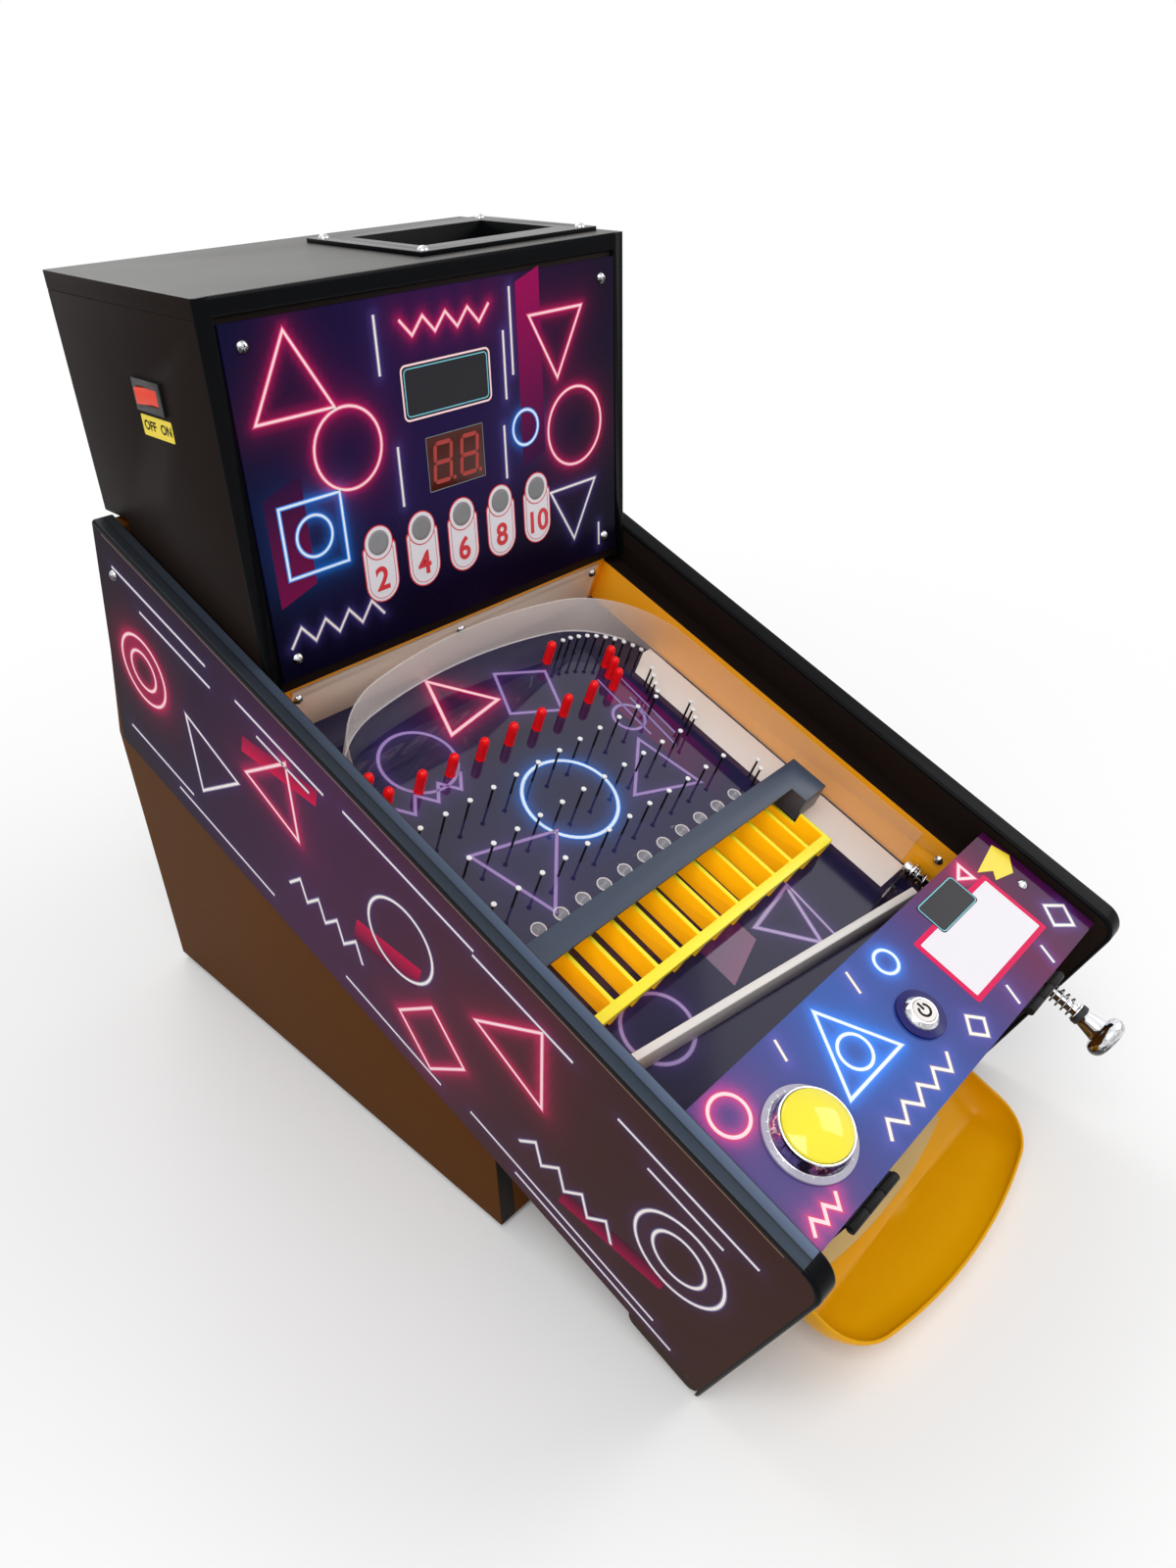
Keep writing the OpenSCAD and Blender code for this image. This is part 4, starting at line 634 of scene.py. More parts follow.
def printed(node, place, look, ground, shapes, cell, reach, strength=1.0, pale=1.0):
    """A printed sheet: the CAD sheet cut into cells, with its ground and glow as a tint."""
    bm = merged(node)
    back = place.inverted()
    flat = [back @ v.co for v in bm.verts]
    for axis in (0, 1):
        low, high = min(p[axis] for p in flat), max(p[axis] for p in flat)
        cut(bm, place, axis, [low + i * cell for i in range(1, int((high - low) / cell))])
    mesh = to_mesh(bm, node + "_print")
    where = np.array([(back @ v.co)[:2] for v in mesh.vertices])
    tint = ground(where)
    for shape in shapes:
        d = nearest(where, shape) / reach
        weight = strength * (pale if shape["glow"] == "white" else 1.0)
        halo = weight * (HALO_NEAR * np.exp(-d ** 2) + HALO_FAR * np.exp(-d / HALO_SPREAD))
        tint = tint + halo[:, None] * GLOW[shape["glow"]]
    layer = mesh.attributes.new("tint", "FLOAT_COLOR", "POINT")
    layer.data.foreach_set("color", np.hstack([np.clip(tint, 0, 1), np.ones((len(tint), 1))]).ravel())
    obj = link(node + "_print", smooth(mesh))
    return piece(obj, BODY_OF[node], look, [node])


def bars(name, place, look, body, slot, tiles):
    """Printed bars: thin tiles whose tint runs from their first edge to the opposite one."""
    bm = bmesh.new()
    layer = bm.verts.layers.float_color.new("tint")
    for outline, near_tint, far_tint in tiles:
        rows = []
        for height in (TILE_LOW, TILE_HIGH):
            rows.append([bm.verts.new(place @ Vector((*p, height))) for p in outline])
            for vert, tint in zip(rows[-1], (near_tint, near_tint, far_tint, far_tint)):
                vert[layer] = (*tint, 1)
        low, high = rows
        bm.faces.new(low)
        bm.faces.new(high)
        for i in range(4):
            k = (i + 1) % 4
            bm.faces.new((low[i], low[k], high[k], high[i]))
    return outward_piece(bm, name, look, body)


def strip_mesh(bm, place, pts, closed, width, low, high):
    """One printed line as a thin flat bar along a path, with mitred corners."""
    count = len(pts)
    sides = []
    for i, p in enumerate(pts):
        before = pts[i - 1] if closed or i else None
        after = pts[(i + 1) % count] if closed or i < count - 1 else None
        a = (Vector(p) - Vector(before)).normalized() if before else None
        b = (Vector(after) - Vector(p)).normalized() if after else None
        a, b = a or b, b or a
        across = Vector((-(a + b).y, (a + b).x)).normalized()
        reach = width / 2 / max(across.dot(Vector((-a.y, a.x))), 0.4)
        corner = [Vector(p) + across * reach, Vector(p) - across * reach]
        sides.append([bm.verts.new(place @ Vector((*c, h))) for c in corner for h in (low, high)])
    for i in range(count if closed else count - 1):
        one, two = sides[i], sides[(i + 1) % count]
        for k, m in ((0, 1), (1, 3), (3, 2), (2, 0)):
            bm.faces.new((one[k], one[m], two[m], two[k]))
    if not closed:
        for end in (sides[0], sides[-1]):
            bm.faces.new((end[0], end[1], end[3], end[2]))


def stroke(name, place, paths, closed, width, low, high, look, body, slot):
    """Thin flat bars along some paths, as one piece."""
    bm = bmesh.new()
    for path in paths:
        strip_mesh(bm, place, path, closed, width, low, high)
    return outward_piece(bm, name, look, body)


def lines(name, place, shapes, body, slot, width=2.0, lift=0.12):
    """The lines of a printed sheet: a pale core over a wider coloured edge, for each colour."""
    for glow in sorted({s["glow"] for s in shapes}):
        for part, looks, widen, top in (("core", CORE, 0.0, lift), ("edge", EDGE, EDGE_EXTRA, lift / 2)):
            bm = bmesh.new()
            for shape in [s for s in shapes if s["glow"] == glow]:
                wide = shape.get("width", width) + widen
                strip_mesh(bm, place, shape["points"], shape["closed"], wide, LINE_LOW, top)
            outward_piece(bm, "_".join((name, glow, part)), looks[glow], body)


# Printed side plates, the right one the mirror image of the left one
SIDE_ART = [
    neon(ring(62, -96, 30), "pink"), neon(ring(62, -96, 17), "pink"),
    neon(corners(150, -118, 40, 3, 20), "white"), neon(corners(232, -70, 38, 3, 200), "pink"),
    neon(zigzag(256, -150, 11, 17, 9), "white", False), neon(ring(372, -82, 33), "white"),
    neon(corners(420, -146, 34, 4, 12), "pink"), neon(corners(486, -66, 40, 3, 78), "pink"),
    neon(zigzag(512, -148, 11, 17, 9), "white", False), neon(ring(636, -92, 34), "white"),
    neon(ring(636, -92, 20), "white"),
]
SIDE_DASHES = ((24, -22, 120), (60, -38, 90), (180, -24, 100), (206, -36, 60), (300, -20, 130),
               (430, -24, 90), (560, -30, 110), (590, -44, 60), (40, -176, 90), (110, -186, 130),
               (330, -184, 110), (470, -176, 180), (520, -186, 150))
SIDE_ART += [dash((x, y), (x + length, y), "white", 1.7) for x, y, length in SIDE_DASHES]
SIDE_BARS = [(leaning(190, -66, 84, 16, 24), srgb(204, 10, 70), srgb(140, 14, 66)),
             (leaning(330, -132, 66, 24, 20), srgb(74, 20, 56), srgb(190, 14, 70)),
             (leaning(556, -164, 84, 18, 26), srgb(150, 16, 64), srgb(66, 22, 46))]
SIDE_PUT = ("cabinet", "side_print")
BRIGHT_EDGE = [(12, -1.3), (DECK_LEN - 26, -1.3)]


def side_ground(points):
    return blend(points, 0, 0.0, DECK_LEN,
                 [(27, 16, 28), (42, 21, 46), (68, 34, 66), (72, 40, 54), (64, 40, 38), (60, 38, 32)])


for label, place, side in SIDES:
    art = [{**shape, "points": mirrored(shape["points"], side)} for shape in SIDE_ART]
    tiles = [(mirrored(tile, side), near_tint, far_tint) for tile, near_tint, far_tint in SIDE_BARS]
    printed("plate_" + label, place, SIDE_PRINT, lambda p: side_ground(p * (side, 1)), art,
            5.0, 5.0, 0.8, 0.3)
    bars("side_bars_" + label, place, SIDE_PRINT, *SIDE_PUT, tiles)
    lines("side_lines_" + label, place, art, *SIDE_PUT)
    edge = mirrored(BRIGHT_EDGE, side)
    stroke("plate_edge_" + label, place, [edge], False, 0.5, -0.04, 0.04, PLATE_EDGE, *SIDE_PUT)

# Printed head panel
HEAD_ART = [
    neon(corners(-128, 565, 34, 3, 90), "pink"), neon(ring(-92, 520, 27), "pink"),
    neon(corners(-128, 470, 34, 4, 45), "blue"), neon(ring(-128, 470, 14), "blue"),
    neon(zigzag(-160, 398, 10, 13, 9), "white", False), neon(corners(106, 562, 32, 3, 270), "pink"),
    neon(ring(124, 490, 30), "pink"), neon(corners(120, 428, 30, 3, 30), "white"),
    neon(ring(70, 500, 13), "blue"), neon(zigzag(-40, 592, 10, -11, 9), "pink", False),
]
HEAD_DASHES = ((52, 524, 572), (60, 540, 600), (-52, 470, 512), (150, 384, 404), (-60, 560, 598),
               (48, 466, 506))
HEAD_ART += [dash((x, low), (x, high), "white", 1.6) for x, low, high in HEAD_DASHES]
HEAD_BARS = [(leaning(66, 470, 24, 132, 8), srgb(54, 16, 62), srgb(150, 16, 84)),
             (leaning(-162, 428, 30, 74, 10), srgb(110, 14, 66), srgb(44, 16, 58))]
HEAD_PUT = ("cabinet", "panel_print")
HEAD_EDGE, HEAD_SHADE = 171.0, 90.0


def head_ground(points):
    tone = blend(points, 0, -HEAD_EDGE, HEAD_EDGE,
                 [(14, 16, 48), (26, 14, 56), (34, 20, 66), (36, 18, 52), (26, 20, 40)])
    shade = np.clip((points[:, 1] - PANEL_Z) / HEAD_SHADE, 0.25, 1)
    return tone * shade[:, None]


printed("head_panel", ON_HEAD, HEAD_PRINT, head_ground, HEAD_ART, 4.0, 3.8, 0.65)
bars("head_bars", ON_HEAD, HEAD_PRINT, *HEAD_PUT, HEAD_BARS)
lines("head_lines", ON_HEAD, HEAD_ART, *HEAD_PUT, 1.6)

# Printed playfield sheet, duller in front of the slots
FIELD_ART = [
    neon(ring(-96, -262, 30), "violet"), neon(corners(-30, -232, 34, 3, 100), "pink"),
    neon(corners(30, -250, 32, 4, 20), "violet"), neon(ring(-20, -352, 38), "blue"),
    neon(corners(-92, -380, 42, 3, 15), "violet"), neon(corners(62, -372, 36, 3, 190), "violet"),
    neon(zigzag(-152, -300, 11, 14, 8), "violet", False), neon(ring(-110, -528, 26), "violet"),
    neon(corners(40, -528, 30, 3, 40), "violet"), neon(ring(86, -316, 14), "violet"),
]
FIELD_DASHES = ((98, -360, -300), (108, -350, -280), (88, -340, -270), (60, -560, -500))
FIELD_ART += [dash((x, low), (x + 6, high), "violet", 1.5) for x, low, high in FIELD_DASHES]
FIELD_BARS = [(leaning(84, -420, 34, 130, 12), srgb(44, 30, 72), srgb(110, 20, 80)),
              (leaning(-40, -540, 44, 40, 15), srgb(100, 24, 84), srgb(56, 36, 84))]
FIELD_PUT = ("cabinet", "field_print")
FIELD_FRONT, FIELD_REAR, FIELD_DULL_S = -674.0, -174.0, FACE_S - 196


def field_ground(points):
    return blend(points, 1, FIELD_FRONT, FIELD_REAR,
                 [(36, 36, 74), (32, 28, 58), (38, 34, 70), (30, 26, 54), (32, 32, 62)])


sheet = printed("playfield_sheet", ON_FIELD, FIELD_PRINT, field_ground, FIELD_ART, 6.0, 6.0, 0.5)
second_tone(sheet, ON_FIELD, FIELD_PRINT_DULL, lambda p, normal: p.y < -FIELD_DULL_S)
bars("field_bars", ON_FIELD, FIELD_PRINT, *FIELD_PUT, FIELD_BARS)
lines("field_lines", ON_FIELD, FIELD_ART, *FIELD_PUT, 2.5, 0.1)

# Printed control panel, plain underneath
CTRL_ART = [
    neon(corners(-62, -628, 34, 3, 90), "blue"), neon(ring(-62, -628, 12), "blue"),
    neon(ring(-160, -603, 13), "pink"), neon(zigzag(-92, -677, 9, 10, 10), "white", False),
    neon(corners(24, -671, 9, 4, 0), "white"), neon(ring(12, -603, 9), "blue"),
    neon(corners(163, -664, 12, 4, 10), "white"), neon(zigzag(-175, -679, 6, 8, 6), "pink", False),
    neon(corners(130, -597, 8, 3, 60), "pink"),
]
CTRL_DASHES = ((-104, -604, -590), (66, -682, -668), (120, -682, -668), (-24, -606, -590))
CTRL_ART += [dash((x, low), (x + 5, high), "white", 1.8) for x, low, high in CTRL_DASHES]
CTRL_PUT = ("panel", "panel_print")
CTRL_EDGE = 182.0


def panel_ground(points):
    return blend(points, 0, -CTRL_EDGE, CTRL_EDGE,
                 [(74, 70, 128), (62, 70, 136), (48, 82, 158), (60, 54, 122), (96, 10, 66), (60, 12, 58)])


panel = printed("control_panel", ON_PANEL, PANEL_PRINT, panel_ground, CTRL_ART, 4.0, 5.0, 0.9)
second_tone(panel, ON_PANEL, BLACK_PLASTIC, lambda p, normal: normal.z < -0.5)
lines("panel_lines", ON_PANEL, CTRL_ART, *CTRL_PUT, 2.2, 0.08)


# Flat plates, hoops and words that lie on a surface, from one height off it to another
def slab(name, place, outline, low, high, look, body, slot):
    bm = bmesh.new()
    face = bm.faces.new([bm.verts.new(place @ Vector((*p, low))) for p in outline])
    lifted = bmesh.ops.extrude_face_region(bm, geom=[face])
    moved = [v for v in lifted["geom"] if isinstance(v, bmesh.types.BMVert)]
    bmesh.ops.translate(bm, verts=moved, vec=place.to_3x3() @ Vector((0, 0, high - low)))
    return outward_piece(bm, name, look, body)


def band(name, place, outline, width, low, high, look, body, slot):
    return stroke(name, place, [outline], True, width, low, high, look, body, slot)


def words(name, place, text, x, y, size, low, high, look, body, slot):
    curve = bpy.data.curves.new(name, "FONT")
    curve.body = text
    curve.size = size
    curve.align_x = "CENTER"
    curve.align_y = "CENTER"
    curve.extrude = (high - low) / 2
    curve.offset = size * 0.025
    mesh = from_curve(name, curve)
    mesh.transform(place @ Matrix.Translation((x, y, (low + high) / 2)))
    return piece(link(name, mesh), body, look)


# Number badges round the lamps on the head
TAG_HALF, TAG_ROUND, TAG_LOW, TAG_TOP = 13.2, 4.0, LAMP_Z - 29.5, LAMP_Z - 2
NUMBER_Z, NUMBER_SIZE = LAMP_Z - 27.5, 24.0


def tag_outline(x, grow):
    w, top = TAG_HALF + grow - TAG_ROUND, TAG_TOP + grow - TAG_ROUND
    return (arc(x, TAG_LOW, TAG_HALF + grow, 180, 360, 12) + arc(x + w, top, TAG_ROUND, 0, 90, 12)
            + arc(x - w, top, TAG_ROUND, 90, 180, 12))


def badge(number, x):
    label = "badge_%d" % number
    slab(label + "_edge", ON_HEAD, tag_outline(x, 1.6), -0.05, 0.14, BADGE_RED, *HEAD_PUT)
    slab(label + "_tag", ON_HEAD, tag_outline(x, 0.7), 0.1, 0.22, CARD_WHITE, *HEAD_PUT)
    band(label + "_line", ON_HEAD, tag_outline(x, -1.4), 0.5, 0.2, 0.26, BADGE_RED, *HEAD_PUT)
    band(label + "_hoop_edge", ON_HEAD, ring(x, LAMP_Z, 10.7), 3.6, -0.05, 0.3, BADGE_RED, *HEAD_PUT)
    band(label + "_hoop", ON_HEAD, ring(x, LAMP_Z, 10.3), 2.6, 0.2, 0.36, CARD_WHITE, *HEAD_PUT)
    words(label + "_number", ON_HEAD, str(2 * number), x, NUMBER_Z, NUMBER_SIZE, 0.2, 0.4, BADGE_RED,
          *HEAD_PUT)


LAMP_X = [(i - (LAMP_COUNT - 1) / 2) * LAMP_PITCH for i in range(LAMP_COUNT)]
for number, x in enumerate(LAMP_X, 1):
    badge(number, x)

# Bare name plate on the head, with its two coloured borders
slab("head_plate", ON_HEAD, rounded(-44, 526, 38, 564, 4), -0.05, 0.3, PLATE_DARK, *HEAD_PUT)
band("head_plate_pink", ON_HEAD, rounded(-43, 527, 37, 563, 4), 1.3, 0.2, 0.42, CORE_PINK, *HEAD_PUT)
band("head_plate_cyan", ON_HEAD, rounded(-40.6, 529.4, 34.6, 560.6, 3), 0.8, 0.2, 0.42, LINE_CYAN, *HEAD_PUT)

# Two seven-segment digits behind the display's filter
DIGIT_W, DIGIT_H, BAR_W, LEAN = 15.0, 27.0, 3.0, 0.1
BAR_GAP, DIGIT_X, DOT_X, DOT_R = 0.35, 12.6, 9.6, 1.5
DIGIT_LOW, DIGIT_HIGH = -0.55, -0.36
FRAME_W, FRAME_H, SEAM_H = 26.8, 19.3, 19.0
DISPLAY_PUT = ("cabinet", "display_plastic")


def digit_bars(x):
    half, top = DIGIT_W / 2, DIGIT_H / 2
    flat = [((-half, h), (half, h)) for h in (top, 0.0, -top)]
    upright = [((side * half, a), (side * half, b)) for side in (-1, 1) for a, b in ((0, top), (-top, 0))]
    out = []
    for a, b in flat + upright:
        a, b = Vector(a), Vector(b)
        along = (b - a).normalized()
        side = Vector((-along.y, along.x)) * BAR_W / 2
        a, b = a + along * BAR_GAP, b - along * BAR_GAP
        tip = along * BAR_W / 2
        out.append([a, a + tip + side, b - tip + side, b, b - tip - side, a + tip - side])
    return [[(x + p.x + LEAN * p.y, DISPLAY_Z + p.y) for p in bar] for bar in out]


for side, label in ((-1, "left"), (1, "right")):
    for k, bar in enumerate(digit_bars(side * DIGIT_X)):
        slab("digit_%s_%d" % (label, k), ON_HEAD, bar, DIGIT_LOW, DIGIT_HIGH, SEGMENT, *DISPLAY_PUT)
    dot = ring(side * DIGIT_X + DOT_X, DISPLAY_Z - DIGIT_H / 2, DOT_R, 16)
    slab("digit_%s_dot" % label, ON_HEAD, dot, DIGIT_LOW, DIGIT_HIGH, SEGMENT, *DISPLAY_PUT)
display_edge = rounded(-FRAME_W, DISPLAY_Z - FRAME_H, FRAME_W, DISPLAY_Z + FRAME_H, 0.5, 2)
band("display_frame", ON_HEAD, display_edge, 0.6, -0.6, -0.3, GREY_MOULDED, *DISPLAY_PUT)
seam = [(x, DISPLAY_Z + h) for x, h in ((-0.8, -SEAM_H), (-0.3, -SEAM_H), (0.8, SEAM_H), (0.3, SEAM_H))]
slab("display_seam", ON_HEAD, seam, -0.6, -0.4, BLACK_PLASTIC, *DISPLAY_PUT)

# Yellow switch label with its two words
LABEL_PUT = ("cabinet", "yellow_plastic")
slab("switch_label", ON_SWITCH, rounded(-18, -26.5, 20, -13, 1.0, 3), -0.05, 0.25, LABEL_YELLOW, *LABEL_PUT)
for name, text, x in (("switch_off", "OFF", -8), ("switch_on", "ON", 12)):
    words(name, ON_SWITCH, text, x, -19.8, 8.6, 0.2, 0.35, INK, *LABEL_PUT)

# Bare card, name plate and arrow sticker on the control panel
ARROW = [(141, -603), (176, -596), (180, -610), (167, -621), (148, -616), (154, -610)]
slab("card_border", ON_PANEL, rounded(41, -663, 144, -607, 1.5, 3), -0.04, 0.12, CARD_PINK, *CTRL_PUT)
slab("card", ON_PANEL, rounded(45, -659, 140, -611, 1.0, 3), 0.08, 0.2, CARD_WHITE, *CTRL_PUT)
slab("card_plate", ON_PANEL, rounded(69, -617, 119, -591, 3), 0.1, 0.34, PLATE_DARK, *CTRL_PUT)
band("card_plate_line", ON_PANEL, rounded(70, -616, 118, -592, 3), 0.8, 0.3, 0.42, LINE_CYAN, *CTRL_PUT)
slab("arrow_sticker", ON_PANEL, ARROW, -0.04, 0.24, LABEL_YELLOW, *CTRL_PUT)

# Power sign on the power button's cap
CAP_RISE, SIGN_R, SIGN_W = 6.5, 4.2, 1.8
sign_arc = arc(POWER_X, -BUTTON_S, SIGN_R, 125, 415, 29)
sign_bar = [(POWER_X, 0.5 - BUTTON_S), (POWER_X, 6.2 - BUTTON_S)]
stroke("power_sign", deck_frame(CTRL_N - CAP_RISE), [sign_arc, sign_bar], False, SIGN_W, -0.05, 0.12, INK,
       "power", "white_plastic")

# Ball tray: a formed bowl with a rolled rim, a folded floor and round inner corners
TRAY_W, TRAY_OUT, TRAY_T, TRAY_R, TRAY_BOW = 126.0, 88.5, 2.5, 38.0, 400.0
TRAY_H, TRAY_FOLD, TRAY_LIP, TRAY_N = 18.0, 35.0, 6.0, 150.0
UNDER_ROUND, INNER_ROUND, REAR_ROUND, RIM_LOW = 9.0, 13.0, 5.0, 0.8
NOTCH_LEFT, NOTCH_RIGHT, NOTCH_OUT, NOTCH_DEEP = -123.0, 65.0, 7.6, 6.0


def tray_depth(out):
    fold = TRAY_LIP + (TRAY_OUT - TRAY_FOLD) * math.tan(SLOPE)
    level = TRAY_LIP + (TRAY_OUT - out) * math.tan(SLOPE)
    return min(level, TRAY_H + (fold - TRAY_H) * out / TRAY_FOLD)


def tray_loop(inset, rear):
    """The tray's outline from the board round the front and back along the board."""
    r, bow, x = TRAY_R - inset, TRAY_BOW - inset, TRAY_W - TRAY_R
    middle = TRAY_OUT - TRAY_BOW
    corner = middle + math.sqrt((bow - r) ** 2 - x * x)
    half = math.degrees(math.atan2(x, corner - middle))
    side = [(x + r, rear + (TRAY_FOLD - rear) * i / 5) for i in range(6)]
    bend = arc(x, corner, r, 0, 90 - half, 10)
    front = arc(0, middle, bow, 90 - half, 90, 12)[1:-1]
    half_loop = side + bend + front
    loop = half_loop + [(0.0, middle + bow)] + [(-x, y) for x, y in reversed(half_loop)]
    return loop + [((x + r) * (i / 8 - 1), rear) for i in range(1, 16)]


def tray_row(inset, rear, share, skin, lip=RIM_LOW):
    row = []
    for x, out in tray_loop(inset, rear):
        top = lip + NOTCH_DEEP * (out < NOTCH_OUT and NOTCH_LEFT < x < NOTCH_RIGHT)
        deep = tray_depth(out) - skin
        row.append((x, out, top + (max(deep, top) - top) * share))
    return row


def tray_floor(row, skin, share):
    shrunk = [(x * share, TRAY_FOLD + (out - TRAY_FOLD) * share) for x, out, deep in row]
    return [(x, out, tray_depth(out) - skin) for x, out in shrunk]


def tray_rows():
    """Rows of points from the middle underneath, over the rolled rim, to the middle of the floor."""
    curve = [math.radians(9 * i) for i in range(1, 11)]
    under = [tray_row(UNDER_ROUND * (1 - math.cos(a)), 0.0, math.sin(a), 0.0) for a in curve]
    rim = ((0.0, RIM_LOW), (0.5, 0.25), (TRAY_T / 2, 0.0), (2.0, 0.25), (TRAY_T, RIM_LOW))
    rolled = [tray_row(inset, inset, 0.0, 0.0, lip) for inset, lip in rim]
    inside = [tray_row(TRAY_T + INNER_ROUND * (1 - math.cos(a)), TRAY_T + REAR_ROUND * (1 - math.cos(a)),
                       math.sin(a), TRAY_T) for a in curve]
    shares = (0.2, 0.4, 0.6, 0.8)
    below = [tray_floor(under[-1], 0.0, share) for share in shares]
    above = [tray_floor(inside[-1], TRAY_T, share) for share in reversed(shares)]
    return below + under[::-1] + rolled + inside + above


def ball_tray():
    bm = bmesh.new()
    on_rim = deck_frame(TRAY_N)
    grid = []
    for row in tray_rows():
        grid.append([bm.verts.new(on_rim @ Vector((x, -FACE_S - out, -deep))) for x, out, deep in row])
    for one, two in zip(grid, grid[1:]):
        for i in range(len(one)):
            k = (i + 1) % len(one)
            bm.faces.new((one[i], one[k], two[k], two[i]))
    for row, skin in ((grid[0], 0.0), (grid[-1], TRAY_T)):
        hub = bm.verts.new(on_rim @ Vector((0, -FACE_S - TRAY_FOLD, skin - tray_depth(TRAY_FOLD))))
        for i in range(len(row)):
            bm.faces.new((row[i], row[(i + 1) % len(row)], hub))
    bmesh.ops.recalc_face_normals(bm, faces=bm.faces)
    mesh = smooth(to_mesh(bm, "ball_tray_finished"), 55)
    piece(link("ball_tray_finished", mesh), "cabinet", TRAY_YELLOW, ["ball_tray"])


ball_tray()


# Turned shapes
def lathe(name, profile, count):
    """A profile of radii and heights turned round its axis."""
    bm = bmesh.new()
    rows = []
    for r, z in profile:
        round_axis = ring(0, 0, r * MM, count) if r else [(0, 0)]
        rows.append([bm.verts.new((x, y, z * MM)) for x, y in round_axis])
    for a, b in zip(rows, rows[1:]):
        for i in range(count):
            k = (i + 1) % count
            loop = [a[i % len(a)], a[k % len(a)], b[k % len(b)], b[i % len(b)]]
            bm.faces.new([v for j, v in enumerate(loop) if v not in loop[:j]])
    bmesh.ops.recalc_face_normals(bm, faces=bm.faces)
    return smooth(to_mesh(bm, name), 40)


# Geometry node trees for what repeats
def new_tree(name, inputs):
    tree = bpy.data.node_groups.new(name, "GeometryNodeTree")
    tree.interface.new_socket("Geometry", in_out="INPUT", socket_type="NodeSocketGeometry")
    keys = {}
    for label, kind in inputs:
        keys[label] = tree.interface.new_socket(label, in_out="INPUT", socket_type=kind).identifier
    tree.interface.new_socket("Geometry", in_out="OUTPUT", socket_type="NodeSocketGeometry")
    return tree, add(tree, "NodeGroupInput"), add(tree, "NodeGroupOutput"), keys


def stood(tree, start, shape):
    """A shape on every point, turned square to its surface, as real geometry."""
    copies = add(tree, "GeometryNodeInstanceOnPoints")
    turn = add(tree, "FunctionNodeEulerToRotation")
    real = add(tree, "GeometryNodeRealizeInstances")
    to = tree.links.new
    to(start.outputs["Geometry"], copies.inputs["Points"])
    to(shape, copies.inputs["Instance"])
    to(start.outputs["Turn"], turn.inputs[0])
    to(turn.outputs[0], copies.inputs["Rotation"])
    to(copies.outputs["Instances"], real.inputs["Geometry"])
    return real.outputs["Geometry"]


def coated(tree, start, shape, look):
    coat = add(tree, "GeometryNodeSetMaterial")
    tree.links.new(shape, coat.inputs["Geometry"])
    tree.links.new(start.outputs[look], coat.inputs["Material"])
    return coat.outputs["Geometry"]


def repeat_tree():
    """Stands one shape on every point."""
    tree, start, end, keys = new_tree(
        "shape_on_points",
        [("Shape", "NodeSocketObject"), ("Turn", "NodeSocketVector"), ("Finish", "NodeSocketMaterial")])
    info = add(tree, "GeometryNodeObjectInfo")
    tree.links.new(start.outputs["Shape"], info.inputs["Object"])
    copies = stood(tree, start, info.outputs["Geometry"])
    tree.links.new(coated(tree, start, copies, "Finish"), end.inputs["Geometry"])
    return tree, keys


def pin_tree():
    """Nails: a shaft and a flat head on every point, in two finishes."""
    tree, start, end, keys = new_tree(
        "pins_on_points",
        [("Shaft Radius", "NodeSocketFloat"), ("Height", "NodeSocketFloat"),
         ("Head Radius", "NodeSocketFloat"), ("Head Height", "NodeSocketFloat"),
         ("Turn", "NodeSocketVector"), ("Shaft Finish", "NodeSocketMaterial"),
         ("Head Finish", "NodeSocketMaterial")])
    to = tree.links.new
    both = add(tree, "GeometryNodeJoinGeometry")
    head = start.outputs["Head Height"]
    shaft = maths(tree, "SUBTRACT", start.outputs["Height"], head)
    middle = maths(tree, "MULTIPLY_ADD", head, -0.5, start.outputs["Height"])
    for radius, depth, look, rise in (("Shaft Radius", shaft, "Shaft Finish", 0.49),
                                      ("Head Radius", head, "Head Finish", 1.0)):
        rod = add(tree, "GeometryNodeMeshCylinder")
        rod.inputs["Vertices"].default_value = 14
        to(start.outputs[radius], rod.inputs["Radius"])
        to(depth, rod.inputs["Depth"])
        shift = add(tree, "ShaderNodeCombineXYZ")
        to(maths(tree, "MULTIPLY", middle, rise), shift.inputs["Z"])
        stand = add(tree, "GeometryNodeTransform")
        to(rod.outputs["Mesh"], stand.inputs["Geometry"])
        to(shift.outputs[0], stand.inputs["Translation"])
        to(coated(tree, start, stand.outputs["Geometry"], look), both.inputs["Geometry"])
    to(stood(tree, start, both.outputs["Geometry"]), end.inputs["Geometry"])
    return tree, keys


REPEAT, REPEAT_KEYS = repeat_tree()
PINS, PIN_KEYS = pin_tree()
SQUARE_TO_DECK, SQUARE_TO_HEAD = (SLOPE, 0.0, 0.0), (math.pi / 2, 0.0, 0.0)


def grown(name, tree, keys, points, values):
    """What a tree makes on some points, as a plain mesh."""
    mesh = bpy.data.meshes.new(name)
    mesh.from_pydata([tuple(c * MM for c in p) for p in points], [], [])
    obj = link(name, mesh)
    modifier = obj.modifiers.new("repeats", "NODES")
    modifier.node_group = tree
    for label, value in values.items():
        modifier[keys[label]] = value
    settle(obj)
    smooth(obj.data, 40)
    return obj


def repeated(name, shape, points, turn, look, node, hides=True):
    holder = link(name + "_shape", shape)
    obj = grown(name, REPEAT, REPEAT_KEYS, points, {"Shape": holder, "Turn": turn, "Finish": look})
    bpy.data.objects.remove(holder)
    return piece(obj, BODY_OF[node], None, [node] if hides else [])


def on_field(places):
    return [deck_point(x, s, PLAY_N) for x, s in places]


